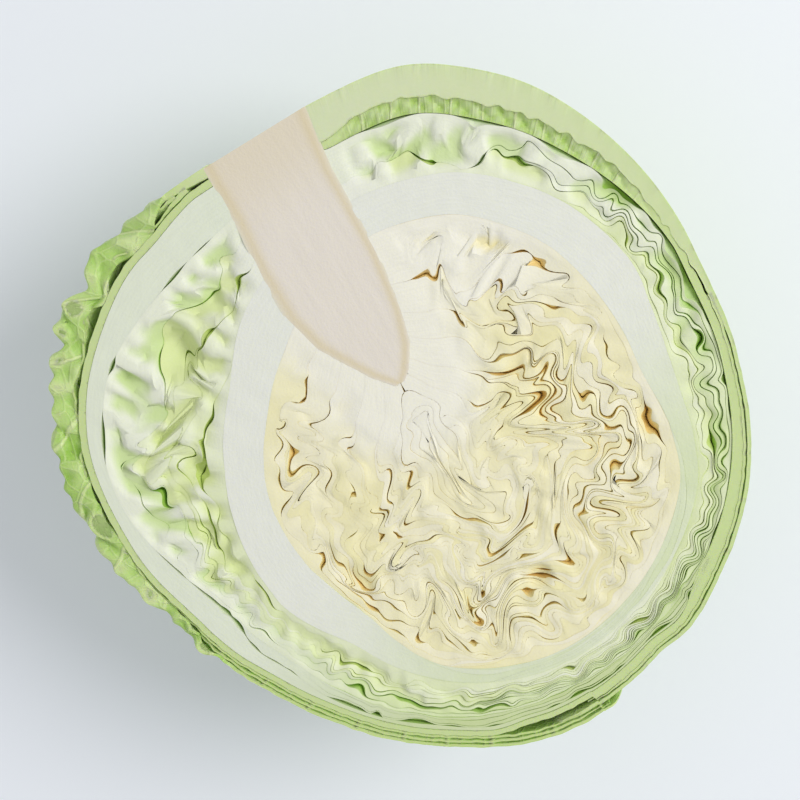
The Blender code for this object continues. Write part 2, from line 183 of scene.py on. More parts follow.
@dataclass(frozen=True)
class OpenField:
    """A part of the cut face where the folds stand apart: its middle, its spread, and how open it is."""

    angle: float
    radius: float
    half_angle: float
    half_radius: float
    strength: float

    def at(self, angle: np.ndarray, radius: np.ndarray) -> np.ndarray:
        """Openness at a place: strength * exp(-(angle off / spread) ^ 2 - (radius off / spread) ^ 2)."""
        turn = off_angle(angle, self.angle) / self.half_angle
        reach = (radius - self.radius) / self.half_radius
        return self.strength * np.exp(-turn ** 2 - reach ** 2)


@dataclass
class Waves:
    """A sum of seeded plane waves, whose curl carries places along without ever tearing them."""

    count: int
    lengths: tuple[float, float]
    seed: int
    travel: float = 0.0
    steps: int = 1
    drift: float = 0.0

    def __post_init__(self) -> None:
        """Draw the waves: their numbers in both directions, phases, and change with depth."""
        rng = np.random.default_rng(self.seed)
        length = rng.uniform(*self.lengths, self.count)
        turn = rng.uniform(0.0, 2.0 * math.pi, self.count)
        number = 2.0 * math.pi / length
        self.vectors = np.stack([number * np.cos(turn), number * np.sin(turn)], axis=-1)
        self.phases = rng.uniform(0.0, 2.0 * math.pi, self.count)
        self.drifts = rng.uniform(-self.drift, self.drift, self.count)
        self.numbers = np.linalg.norm(self.vectors, axis=-1)

    def phase(self, depth: np.ndarray) -> np.ndarray:
        """Phases of the waves at these depths below the cut, in millimetres."""
        return self.phases + depth[..., None] * self.drifts


@dataclass
class HeadForm:
    """The form that all the leaves share: rings round the heart, the dome they lie in, and the flows.

    Angles are in degrees round the heart, counterclockwise from +X, and a leaf's own turn is counted
    from the core. Levels are in degrees below the cut face on a shell. Lengths are in millimetres.
    """

    cut_height: float = 84.0
    heart: tuple[float, float] = (12.5, -15.2)
    rest_spot_angle: float = 82.0
    leaf_gap: float = 0.35
    margin_room: float = 0.55
    bud_share: float = 0.12
    bud_stalk: float = 11.5
    stalk_spread: float = 15.0
    bud_gap: float = 0.5
    stem_axis: float = 122.0
    stem_length: float = 72.0
    core_lap: float = 1.5
    stem_base: tuple[float, float] = (-51.1, 84.1)
    stem_tip: tuple[float, float] = (-14.0, 22.2)
    stem_left: RingPoints = (
        (0.0, 15.3), (16.0, 15.5), (30.0, 17.0), (44.0, 17.0), (54.0, 14.3), (60.0, 10.5), (67.0, 6.0),
        (72.0, 1.5))
    stem_right: RingPoints = (
        (0.0, 15.3), (16.0, 13.2), (40.0, 12.4), (56.0, 10.2), (64.0, 7.8), (70.0, 4.0), (72.0, 1.5))
    outline: RingPoints = (
        (0, 74.7), (20, 76.5), (40, 80.5), (60, 90.0), (80, 99.5), (97, 103.5), (111, 99.5), (122, 98.5),
        (133, 100.5), (148, 107.5), (170, 107.5), (180, 105.0), (200, 93.0), (210, 85.5), (230, 78.0),
        (245, 75.4), (270, 74.0), (290, 75.2), (320, 72.8), (340, 72.6))
    wrap: RingPoints = (
        (0, 69.5), (20, 72.0), (40, 76.5), (60, 84.0), (80, 89.5), (98, 91.5), (111, 88.5), (134, 85.0),
        (150, 88.0), (165, 93.5), (180, 92.0), (190, 87.0), (200, 79.0), (210, 72.5), (230, 67.0),
        (270, 66.0), (285, 65.0), (300, 64.5), (320, 65.0), (340, 67.0))
    rib: RingPoints = (
        (0, 62.0), (20, 60.5), (30, 61.5), (40, 64.5), (50, 69.5), (70, 74.0), (90, 76.0), (111, 73.5),
        (145, 67.0), (160, 61.5), (180, 60.0), (220, 58.5), (240, 53.5), (266, 56.0), (300, 58.0),
        (320, 58.0), (340, 60.0))
    inner: RingPoints = (
        (0, 57.5), (20, 54.5), (30, 53.5), (50, 57.5), (70, 62.5), (90, 65.5), (111, 63.5), (145, 53.0),
        (165, 50.0), (190, 49.0), (225, 45.0), (240, 44.5), (266, 52.0), (300, 54.5), (320, 55.0),
        (340, 56.0))
    folds: Waves = field(default_factory=lambda: Waves(26, (22.0, 42.0), 7, 4.2, 8, 0.02))
    crinkles: Waves = field(default_factory=lambda: Waves(44, (5.0, 13.0), 3, 1.75, 12, 0.14))
    dents: Waves = field(default_factory=lambda: Waves(26, (5.0, 17.0), 12))
    pits: tuple[Pit, ...] = PITS
    back_inset: float = 0.035
    back_thickness: float = 1.2
    wall_levels: tuple[float, ...] = (0.0, 10.0, 36.0, 60.0, 72.0, 82.0)
    overlap: float = 1.9
    ripple: float = 0.62
    frill_bulge: float = 2.4
    step: float = 7.2

    def __post_init__(self) -> None:
        """Work out the rings and the core's axis once."""
        self.outline_at = ring(self.outline)
        self.wrap_at = ring(self.wrap)
        self.rib_at = ring(self.rib)
        self.heart_at = ring(self.inner)
        self.core_base = np.array(self.stem_base)
        self.core_axis = (np.array(self.stem_tip) - self.core_base) / self.stem_length
        self.dome_depth = self.cut_height / (1.0 - self.back_inset)
        turns = np.arange(0.0, 360.0, 0.5)
        nearest = np.min([self.back_outside(turns, level) for level in self.wall_levels], axis=0)
        inside = nearest - self.back_thickness * self.outline_at(turns) / 74.0 - self.leaf_gap
        self.inside_back = lambda angle: np.interp(angle, turns, inside, period=360)

    def inside_wrapper(self, angle: np.ndarray) -> np.ndarray:
        """Ring inside the wrapper leaf, and inside the back leaf where that wrapper doesn't reach."""
        return np.minimum(self.wrap_at(angle), self.inside_back(angle))

    def bud_ring(self, angle: np.ndarray) -> np.ndarray:
        """Ring of the heart bud: a share of the outline, and a stalk that meets the core's tip."""
        stalk = np.exp(-(off_angle(angle, self.stem_axis) / self.stalk_spread) ** 2)
        return self.bud_share * self.outline_at(angle) + self.bud_stalk * stalk

    def around_bud(self, angle: np.ndarray) -> np.ndarray:
        """Ring just outside the heart bud."""
        return self.bud_ring(angle) + self.bud_gap

    def crossing(self, angle: np.ndarray) -> np.ndarray:
        """1 where the end of the right outer leaf lies under the end of the left one, 0 elsewhere."""
        turned = (angle - self.stem_axis) % 360.0
        return ease((turned - 156.0) / 10.0) * (1.0 - ease((turned - 196.0) / 10.0))

    def back_outside(self, angle: np.ndarray, level: Numbers) -> np.ndarray:
        """Outer face of the back leaf: inside both outermost leaves at the cut face, near them below.

        Args:
            angle: in degrees round the heart.
            level: in degrees below the cut face.

        Returns:
            The radius that its ring would have at the cut face.
        """
        outline = self.outline_at(angle)
        left = (angle - self.stem_axis) % 360.0
        right = 360.0 - left
        ruffled = ease((left - 10.0) / 14.0) * ease((103.0 - left) / 45.0)
        by_left = 3.3 + 4.3 * ruffled
        rib = ease(right / 11.0) * (1.0 - ease((right - 35.0) / 50.0))
        by_right = 2.2 + 8.0 * rib
        at_rim = outline - np.where(left < 180.0, by_left, by_right) - self.overlap * self.crossing(angle)
        late = 1.0 - ease((level - 62.0) / 18.0)
        below = outline * (1.0 - self.back_inset) - 2.4 * self.crossing(angle) * late
        return at_rim + (below - at_rim) * ease((level - 8.0) / 70.0)

    @staticmethod
    def rippled(angle: np.ndarray) -> np.ndarray:
        """1 on the upper right, where the back leaf's rim ripples, 0 elsewhere."""
        return 1.0 - ease((np.abs(off_angle(angle, 72.0)) - 28.0) / 14.0)

    @staticmethod
    def frilled(angle: np.ndarray) -> np.ndarray:
        """1 where the back leaf's rim is gathered in a wide green frill, 0 elsewhere."""
        return ease((angle % 360.0 - 50.0) / 18.0) * (1.0 - ease((angle % 360.0 - 104.0) / 9.0))

    def rim_ripple(self, angle: np.ndarray, depth: np.ndarray) -> np.ndarray:
        """How far the back leaf's rim lies inwards: it ripples on the right and bulges outwards at the top.

        The ripple is a pair of sines along the rim, in whole numbers of waves a turn, and its size
        wanders. Both die out 6 to 7 mm down.
        """
        rng = np.random.default_rng(8)
        turn, sway = np.radians(angle), wander(rng, 60.0, angle)
        size = 0.55 + 0.45 * wander(rng, 46.0, angle)
        ripple = 0.6 * np.sin(80.0 * turn + 2.3 * sway + 0.25 * depth)
        ripple = ripple + 0.4 * np.sin(131.0 * turn + 3.8 * sway)
        strong = self.ripple * size * (0.75 + ripple) * self.rippled(angle) * (1.0 - ease(depth / 6.0))
        frilled = self.frill_bulge * self.frilled(angle) * (1.0 - ease(depth / 7.0))
        return strong + 0.12 * ripple * (1.0 - ease(depth / 4.0)) - frilled

    def from_stem(self, x: np.ndarray, y: np.ndarray, end: float) -> np.ndarray:
        """Distance from the middle line of the core, whose line ends this far short of its tip."""
        x, y = x - self.core_base[0], y - self.core_base[1]
        axis = self.core_axis
        along = np.clip(x * axis[0] + y * axis[1], -30.0, self.stem_length - end)
        return np.hypot(x - along * axis[0], y - along * axis[1])

    def loose(self, angle: np.ndarray, radius: np.ndarray, rim: float, deep: float,
              least: float = 8.0) -> np.ndarray:
        """How freely a ring can fold: 1 amid the thin leaves, 0 at the ribs, the core and the outside.

        Args:
            angle: in degrees round the heart.
            radius: in millimetres.
            rim: the share of the folded leaves' zone over which it grows from each side.
            deep: how far inside the heart's ring it is fully free.
            least: width at which the folded leaves' zone begins to be free.

        Returns:
            The freedom, from 0 to 1.
        """
        wrap, rib, heart = self.inside_wrapper(angle), self.rib_at(angle), self.heart_at(angle)
        width = wrap - rib
        filler = ease(np.minimum(wrap - radius, radius - rib) / (rim * width)) * ease((width - least) / 14.0)
        return np.maximum(filler, ease((heart - radius) / deep))

    def zone_radius(self, ring_at: Ring, angle: np.ndarray, level: np.ndarray) -> np.ndarray:
        """Radius of a ring for the arc of a shell: its own near the cut face, evened out below."""
        outline = self.outline_at(angle)
        own = ring_at(angle) / outline
        turns = np.arange(0.0, 360.0, self.step)
        even = (ring_at(turns) / self.outline_at(turns)).mean()
        return outline * (own + (even - own) * ease((level - 15.0) / 65.0))

    def level_at(self, angle: np.ndarray, radius: np.ndarray, depth: Numbers) -> np.ndarray:
        """Level on a shell, in degrees below the cut face, at a depth in mm: asin(depth / shell depth)."""
        full = radius / self.outline_at(angle) * self.dome_depth
        top = math.sin(math.radians(self.rest_spot_angle))
        return np.degrees(np.arcsin(np.clip(depth / np.maximum(full, 0.5), 0.0, top)))

    def dome(self, angle: np.ndarray, level: np.ndarray, radius: np.ndarray) -> np.ndarray:
        """Point of a shell whose ring has this radius: a quarter arc from the cut face to the back.

        All shells are the outline's dome drawn towards the heart: share * (cos(level) * (outline +
        heart) - heart) sideways and share * depth * sin(level) down.
        """
        outline = self.outline_at(angle)
        share = radius / outline
        turn, down = np.radians(angle), np.radians(level)
        side = np.cos(down)
        hx, hy = self.heart
        x = hx + share * (side * (outline * np.cos(turn) + hx) - hx)
        y = hy + share * (side * (outline * np.sin(turn) + hy) - hy)
        z = self.cut_height - share * self.dome_depth * np.sin(down)
        return stacked(x, y, z)

    def crinkle(self, angle: np.ndarray, radius: np.ndarray, depth: np.ndarray) -> tuple:
        """Carry places round the heart along the short waves' flow, which fades out downwards.

        The flow is the curl of a sum of plane waves, so it swirls the folds and never tears them. Its
        pace falls to nothing at the ribs and round the core.

        Args:
            angle: in degrees round the heart.
            radius: in millimetres.
            depth: in millimetres below the cut.

        Returns:
            The angle and the radius of each place after the flow.
        """
        waves = self.crinkles
        x, y = radius * np.cos(np.radians(angle)), radius * np.sin(np.radians(angle))
        phase = waves.phase(depth)
        pace = waves.travel / waves.steps * (1.0 - ease((depth - 4.0) / 26.0))
        numbers = waves.numbers ** 0.75 * math.sqrt(waves.count / 2.0) * (2.0 * math.pi / 10.0) ** 0.25
        for _ in range(waves.steps):
            turn, reach = np.degrees(np.arctan2(y, x)), np.hypot(x, y)
            free = self.loose(turn, reach, 0.25, 6.0, -2.0) * ease((self.from_stem(x, y, 2.0) - 13.0) / 11.0)
            free = free * (0.62 + 0.38 * ease((self.rib_at(turn) - reach) / 5.0))
            swing = np.cos(np.stack([x, y], axis=-1) @ waves.vectors.T + phase) / numbers
            go = pace * free
            x, y = x + go * (swing @ waves.vectors[:, 1]), y - go * (swing @ waves.vectors[:, 0])
        return np.degrees(np.arctan2(y, x)), np.hypot(x, y)

    def fold(self, points: np.ndarray, freedom: np.ndarray, level: np.ndarray) -> np.ndarray:
        """Carry points along the long waves' flow, as the solids do."""
        waves = self.folds
        phase = waves.phase(self.cut_height - points[..., 2])
        pace = waves.travel / waves.steps * freedom * (1.0 - ease(level / self.rest_spot_angle))
        moved = points.copy()
        for _ in range(waves.steps):
            swing = np.sin((moved[..., :2] - self.heart) @ waves.vectors.T + phase) / waves.numbers
            swing = swing * math.sqrt(2.0 / waves.count)
            moved[..., 0] += pace * (swing @ waves.vectors[:, 1])
            moved[..., 1] -= pace * (swing @ waves.vectors[:, 0])
        return moved

    def sunk(self, points: np.ndarray) -> np.ndarray:
        """Points with the soft hollows of the cut face, which all leaves share and which fade out below.

        Each point goes down by relief * ease(0.5 + 0.42 * n), where n is a sum of plane waves, and by
        the depth of the pits.

        Args:
            points: places on the head, in millimetres.

        Returns:
            The same places, lower by the hollows.
        """
        x, y = points[..., 0] - self.heart[0], points[..., 1] - self.heart[1]
        angle, reach = np.degrees(np.arctan2(y, x)), np.hypot(x, y)
        calm = ease((self.from_stem(x, y, 2.0) - 12.0) / 12.0)
        rib, heart = self.rib_at(angle), self.heart_at(angle)
        filler = ease((reach - rib) / 4.0) * ease((self.inside_wrapper(angle) - reach) / 4.0)
        filler = 2.1 * filler * ease((self.wrap_at(angle) - rib - 4.0) / 14.0)
        relief = 0.12 + calm * (filler + 0.65 * ease((heart - reach) / 6.0))
        swing = np.sin(np.stack([x, y], axis=-1) @ self.dents.vectors.T + self.dents.phases).sum(axis=-1)
        swing = swing * math.sqrt(2.0 / self.dents.count)
        moved = points.copy()
        depth = self.cut_height - points[..., 2]
        moved[..., 2] -= relief * ease(0.5 + 0.42 * swing) * (1.0 - ease(depth / 9.0))
        moved[..., 2] -= sum(pit.at(angle, reach) for pit in self.pits) * (1.0 - ease(depth / 16.0))
        return moved

    def settle(self, angle: np.ndarray, radius: np.ndarray, level: np.ndarray) -> np.ndarray:
        """Final place of a point of a nested leaf: crinkled round the heart, laid on its dome, folded."""
        angle, radius, level = np.broadcast_arrays(angle, radius, level)
        depth = radius / self.outline_at(angle) * self.dome_depth * np.sin(np.radians(level))
        turn, reach = self.crinkle(angle, radius, depth)
        x, y = reach * np.cos(np.radians(turn)), reach * np.sin(np.radians(turn))
        freedom = self.loose(turn, reach, 0.35, 12.0) * ease((self.from_stem(x, y, 12.0) - 17.0) / 14.0)
        return self.fold(self.dome(turn, level, reach), freedom, level)

    def under_core(self, points: np.ndarray, grow: float) -> np.ndarray:
        """Depth of the core's underside above these points, 0 beside it and just within its edge.

        The core is a row of half ovals: depth = half width * sqrt(1 - (across / side width) ^ 2). The
        leaves run a little way into its side before they go under it, so that they meet it cleanly.

        Args:
            points: the points, in millimetres.
            grow: how much deeper than the core the leaves stay.

        Returns:
            The depth at each point, in millimetres.
        """
        x, y = (points[..., kind] - self.heart[kind] - self.core_base[kind] for kind in (0, 1))
        along = x * self.core_axis[0] + y * self.core_axis[1]
        across = x * self.core_axis[1] - y * self.core_axis[0]
        left, right = self.core_widths(along)
        wide = np.where(across > 0.0, left, right)
        out = np.maximum(np.abs(across) - wide, along - self.stem_length)
        oval = np.sqrt(np.clip(1.0 - (across / wide) ** 2, 0.0, 1.0))
        return np.where(out < -self.core_lap, (0.5 * (left + right) + grow) * oval, 0.0)

    def core_widths(self, along: np.ndarray) -> tuple[np.ndarray, np.ndarray]:
        """Half widths of the core on its left and its right, this far from its cut end."""
        return np.interp(along, *zip(*self.stem_left)), np.interp(along, *zip(*self.stem_right))

    def cut_off(self, points: np.ndarray) -> np.ndarray:
        """Points of an outer leaf, kept a little below the cut face and under the core."""
        points[..., 2] = np.minimum(points[..., 2], self.cut_height - self.under_core(points, 0.3) - 0.03)
        return points


def to_linear(colour: str) -> tuple[float, float, float, float]:
    """Turn an sRGB hex colour such as "#EFE9D6" into linear red, green, blue and alpha."""
    parts = np.array([int(colour[place:place + 2], 16) / 255.0 for place in (1, 3, 5)])
    linear = np.where(parts <= 0.04045, parts / 12.92, ((parts + 0.055) / 1.055) ** 2.4)
    return (*linear.tolist(), 1.0)


def dressed(name: str, parts: list[tuple[np.ndarray, ...]], finish: bpy.types.Material,
            all_round: bool = False) -> bpy.types.Object:
    """One smooth closed mesh from tubes, each a grid of points whose columns run round a section.

    Args:
        name: the node that the piece stands for.
        parts: for each tube its grid (rows, columns, 3) in millimetres, the look of its points (skin,
            rib and warmth, from 0 to 1) and their places on the leaf in millimetres.
        finish: its material.
        all_round: whether the last row of each tube meets its first. If not, open ends get a strip of
            faces. The columns of a section always close up.

    Returns:
        The object, linked to the scene, with its faces outwards.
    """
    faces, start = [], 0
    for grid, _, _ in parts:
        rows, columns = grid.shape[:2]
        index = start + np.arange(rows * columns).reshape(rows, columns)
        near = index if all_round else index[:-1]
        far = np.roll(index, -1, axis=0) if all_round else index[1:]
        quads = np.stack([near, far, np.roll(far, -1, axis=1), np.roll(near, -1, axis=1)], axis=-1)
        quads = quads.reshape(-1, 4)
        if not all_round:
            half = np.arange(columns // 2 - 1)
            for row, order in ((index[0], 1), (index[-1], -1)):
                last = columns - 1 - half
                strip = np.stack([row[half], row[half + 1], row[last - 1], row[last]], axis=-1)
                quads = np.vstack([quads, strip[:, ::order]])
        flat = grid.reshape(-1, 3)
        corner = flat[quads - start]
        split = np.cross(corner[:, 1] - corner[:, 0], corner[:, 2] - corner[:, 0])
        split = split + np.cross(corner[:, 2] - corner[:, 0], corner[:, 3] - corner[:, 0])
        volume = ((corner.mean(axis=1) - flat.mean(axis=0)) * split).sum()
        faces.append(quads if volume > 0.0 else quads[:, ::-1])
        start += rows * columns
    grids, looks, places = (
        np.vstack([values.reshape(-1, 3) for values in kind]) for kind in zip(*parts))
    mesh = bpy.data.meshes.new(name + "_dressed")
    mesh.from_pydata((grids * MM).tolist(), [], np.vstack(faces).tolist())
    mesh.polygons.foreach_set("use_smooth", np.ones(len(mesh.polygons), bool))
    for label, values in (("look", looks), ("leaf_place", places)):
        layer = mesh.attributes.new(label, "FLOAT_VECTOR", "POINT")
        layer.data.foreach_set("vector", values.astype(np.float32).ravel())
    mesh.update()
    mesh.set_sharp_from_angle(angle=math.radians(32.0))
    mesh.materials.append(finish)
    piece = bpy.data.objects.new(name + "_dressed", mesh)
    bpy.context.scene.collection.objects.link(piece)
    return piece


Tree = bpy.types.NodeTree
Socket = bpy.types.NodeSocket


def add_node(tree: Tree, kind: str, settings: dict | None = None,
             links: dict | None = None) -> bpy.types.Node:
    """Add a node with its settings and links.

    Args:
        tree: the material's nodes.
        kind: Blender's name for the node.
        settings: values by property name, or by input name or number where there is no such property.
        links: output sockets by the name or number of the input that they feed.

    Returns:
        The node.
    """
    node = tree.nodes.new("ShaderNode" + kind)
    for name, value in (settings or {}).items():
        if isinstance(name, str) and hasattr(node, name):
            setattr(node, name, value)
        else:
            node.inputs[name].default_value = value
    for name, socket in (links or {}).items():
        tree.links.new(socket, node.inputs[name])
    return node


@dataclass
class Surface:
    """The sockets that every raw leaf reads: its look and place from the mesh, and noise in space."""

    tree: Tree
    blotch: float
    cell: float

    def __post_init__(self) -> None:
        """Read the mesh's skin, rib, warmth and place, and lay the patches and the grain of cells."""
        look = self.add("Attribute", {"attribute_name": "look"}).outputs["Vector"]
        self.skin, self.rib, self.warm = self.add("SeparateXYZ", links={0: look}).outputs
        self.place = self.add("Attribute", {"attribute_name": "leaf_place"}).outputs["Vector"]
        self.spot = self.add("TexCoord").outputs["Object"]
        blotches = {"Scale": 1.0 / (self.blotch * MM), "Detail": 3.0, "Roughness": 0.6}
        self.patches = self.add("TexNoise", blotches, {"Vector": self.spot}).outputs[0]
        self.cells = self.add("TexNoise", {
            "Scale": 1.0 / (self.cell * MM), "Detail": 2.0}, {"Vector": self.spot}).outputs[0]
        self.edge = self.add("Math", {"operation": "POWER", 1: 1.4}, {0: self.skin}).outputs[0]

    def add(self, kind: str, settings: dict | None = None, links: dict | None = None) -> bpy.types.Node:
        """Add a node of this kind to the material."""
        return add_node(self.tree, kind, settings, links)

    def step(self, value: Socket, low: float, high: float, top: float = 1.0) -> Socket:
        """Smooth rise from 0 to the top while the value goes from low to high."""
        return self.add("MapRange", {
            "interpolation_type": "SMOOTHSTEP", "From Min": low, "From Max": high, "To Max": top},
            {"Value": value}).outputs["Result"]

    def mix(self, share: Socket, first: Socket | str, second: Socket | str) -> Socket:
        """Mix two colours, each a socket or an sRGB hex colour."""
        node = self.add("Mix", {"data_type": "RGBA"}, {0: share})
        for place, value in ((6, first), (7, second)):
            if isinstance(value, str):
                node.inputs[place].default_value = to_linear(value)
            else:
                self.tree.links.new(value, node.inputs[place])
        return node.outputs[2]

    def share(self, base: Socket, noise: Socket, strength: float) -> Socket:
        """A share that noise raises and lowers: base * (1 + strength * (noise - 0.5)), kept from 0 to 1."""
        moved = self.add("Math", {
            "operation": "MULTIPLY_ADD", 1: strength, 2: -0.5 * strength}, {0: noise}).outputs[0]
        faded = self.scaled(moved, base)
        return self.add("Math", {"operation": "ADD", "use_clamp": True}, {0: base, 1: faded}).outputs[0]

    def plus(self, first: Socket, second: Socket, factor: float) -> Socket:
        """first + factor * second."""
        return self.add("Math", {"operation": "MULTIPLY_ADD", 1: factor}, {0: second, 2: first}).outputs[0]

    def scaled(self, value: Socket, factor: Socket | float) -> Socket:
        """A value times a number or another value."""
        plain = isinstance(factor, float)
        settings = {"operation": "MULTIPLY", 1: factor} if plain else {"operation": "MULTIPLY"}
        return self.add("Math", settings, {0: value} if plain else {0: value, 1: factor}).outputs[0]


@dataclass(frozen=True, kw_only=True)
class RawFinish:
    """Raw cabbage, with sRGB hex colours and sizes in millimetres.

    The skin on both faces of a leaf is more coloured than its flesh, and shows as a fine line along each
    cut edge. A little light goes through the flesh and softens it.
    """

    name: str
    rib: str
    flesh: str
    warm: str
    skin: str
    wall_rib: str = "#E4EAD2"
    roughness: float = 0.5
    blotch: float = 9.0         # size of the patches where the colour changes
    cell: float = 0.7           # size of the grain of cells
    bump: float = 0.35
    bump_height: float = 0.25
    refraction: float = 1.38
    gloss: float = 0.35
    glow: float = 0.12          # share of the light that goes through the flesh
    glow_colour: tuple[float, float, float] = (1.0, 1.0, 0.6)
    glow_reach: float = 0.5

    def build(self) -> bpy.types.Material:
        """Make the material: its own pattern, then the bump and the shader that all of them share."""
        material = bpy.data.materials.new(self.name)
        material.use_nodes = True
        material.node_tree.nodes.clear()
        surface = Surface(material.node_tree, self.blotch, self.cell)
        colour, height = self.pattern(surface)
        bump = surface.add(
            "Bump", {"Strength": self.bump, "Distance": self.bump_height * MM}, {"Height": height})
        shader = surface.add("BsdfPrincipled", {
            "Roughness": self.roughness, "IOR": self.refraction, "Subsurface Weight": self.glow,
            "Subsurface Radius": self.glow_colour, "Subsurface Scale": self.glow_reach * MM,
            "Specular IOR Level": self.gloss}, {"Base Color": colour, "Normal": bump.outputs[0]})
        surface.add("OutputMaterial", links={"Surface": shader.outputs[0]})
        return material

    def pattern(self, surface: Surface) -> tuple[Socket, Socket]:
        """Colour and height of the surface. Each kind of finish has its own.

        Args:
            surface: the nodes that every finish starts from.

        Returns:
            The sockets of the colour and of the height.
        """
        raise NotImplementedError


@dataclass(frozen=True, kw_only=True)
class LeafFinish(RawFinish):
    """Raw cabbage leaf, freshly cut.

    The knife leaves a matte, moist flesh: near white along the ribs, cream or pale green in the blade.
    Fibres run along the ribs. The walls deep in the gaps between leaves are painted deep and saturated, as
    painted shade and bounced light, and the cut face is painted towards the skin's colour in its hollows, as
    painted shade.
    """

    # Colour painted on the walls deep in the gaps: painted shade and bounced light, deep and saturated.
    deep: str
    fibre: float = 0.55                               # spacing of the fibres in a rib
    # Depths below the cut between which that painted gap light and shade comes in.
    painted_gap_light_depths: tuple[float, float] = (0.25, 2.6)      # depths between which the gaps colour
    # Depths below the cut between which the cut face is painted towards the skin's colour: painted shade in
    # its hollows.
    painted_hollow_shade_depths: tuple[float, float] = (0.35, 2.4)    # depths between which the cut face colours
    # Strongest share of that painted shade of the hollows.
    painted_hollow_shade_share: float = 0.8
    cut_height: float = 84.0

    def pattern(self, surface: Surface) -> tuple[Socket, Socket]:
        """Colour by rib, skin and warmth, painted light and shade by depth, and relief by fibres and cells.
        """
        height = surface.add("SeparateXYZ", links={0: surface.spot}).outputs["Z"]
        gap_low, gap_high = ((self.cut_height - depth) * MM for depth in self.painted_gap_light_depths)
        low, high = ((self.cut_height - depth) * MM for depth in self.painted_hollow_shade_depths)
        # Painted light and shade of the gaps: grows with depth below the cut.
        deep = surface.step(height, gap_low, gap_high)
        # Painted shade of the hollows: grows with depth below the cut.
        hollow = surface.step(height, low, high, self.painted_hollow_shade_share)
        stretch = {"Scale": (0.12 / self.fibre, 1.0 / self.fibre, 1.0)}
        stretched = surface.add("Mapping", stretch, {"Vector": surface.place}).outputs[0]
        fibres = surface.add("TexNoise", {"Scale": 1.0, "Detail": 3.0}, {"Vector": stretched}).outputs[0]
        shades = {"From Min": 0.3, "From Max": 0.7, "To Min": 0.965, "To Max": 1.01}
        streaks = surface.add("MapRange", shades, {"Value": fibres}).outputs["Result"]
        white = surface.add("VectorMath", {"operation": "SCALE", 0: to_linear(self.rib)[:3]},
                            {"Scale": streaks}).outputs[0]
        flesh = surface.mix(surface.share(surface.warm, surface.patches, 1.0), self.flesh, self.warm)
        # The cut face takes the skin's colour lower in its hollows: painted shade.
        cut = surface.mix(hollow, surface.mix(surface.rib, flesh, white), self.skin)
        wall = surface.mix(surface.rib, self.skin, self.wall_rib)
        # Walls deep in the gaps take the deep colour: painted shade and bounced light.
        wall = surface.mix(surface.share(deep, surface.patches, 0.9), wall, self.deep)
        grain = surface.plus(surface.cells, fibres, 0.6)
        return surface.mix(surface.edge, cut, wall), grain


@dataclass(frozen=True, kw_only=True)
class OuterFinish(RawFinish):
    """The outermost leaves: waxy green skin over raised pale veins.

    Side veins leave the rib every 15 to 18 mm and run at about 45 degrees, and a net of fine veins fills
    the blade between them. A thin film of wax makes the green paler and duller in patches, and the same
    pale colour is painted on the crests of creases and frills, with greener troughs: painted highlight and
    shade.
    """

    vein: str = "#D5E2AC"
    # Pale colour of the wax film, also painted on crests as painted highlight.
    bloom_and_highlight: str = "#C3D49E"
    vein_step: float = 17.0
    vein_lean: float = 1.05
    net: float = 5.5
    cell: float = 0.8
    bump: float = 0.6
    bump_height: float = 0.6
    refraction: float = 1.4
    gloss: float = 0.45
    glow: float = 0.35
    glow_colour: tuple[float, float, float] = (0.8, 1.0, 0.3)
    glow_reach: float = 0.9

    def pattern(self, surface: Surface) -> tuple[Socket, Socket]:
        """Veins by the place on the leaf, and colour by cut edge and patches."""
        sway = surface.add("TexNoise", {"Scale": 1.0 / (26.0 * MM), "Detail": 1.0}, {"Vector": surface.spot})
        along, down, _ = surface.add("SeparateXYZ", links={0: surface.place}).outputs
        slanted = surface.plus(surface.plus(along, down, -self.vein_lean), sway.outputs[0], 14.0)
        wave = surface.add(
            "Math", {"operation": "PINGPONG", 1: 0.5 * self.vein_step}, {0: slanted}).outputs[0]
        side = surface.step(wave, 1.1, 0.25)
        net, fine = (
            surface.step(surface.add("TexVoronoi", {"feature": "DISTANCE_TO_EDGE", "Scale": size / self.net},
                                     {"Vector": surface.place}).outputs[0], low, high)
            for size, low, high in ((1.0, 0.09, 0.01), (3.2, 0.1, 0.0)))
        # Warmth paints the green towards the pale colour: wax patches, and painted highlight and shade where
        # crests raise it and troughs lower it.
        green = surface.mix(surface.share(surface.warm, surface.patches, 1.6), self.skin, self.bloom_and_highlight)
        veins = surface.plus(surface.plus(surface.scaled(side, 0.75), net, 0.32), fine, 0.12)
        wall = surface.mix(veins, green, self.vein)
        wall = surface.mix(surface.scaled(surface.rib, 0.8), wall, self.wall_rib)
        cut = surface.mix(surface.rib, self.flesh, self.rib)
        cut = surface.mix(surface.scaled(surface.cells, 0.3), cut, self.warm)
        relief = surface.plus(surface.plus(surface.scaled(side, 1.0), net, 0.4), fine, 0.15)
        relief = surface.scaled(surface.plus(relief, surface.cells, 0.12), surface.edge)
        return surface.mix(surface.edge, cut, wall), relief


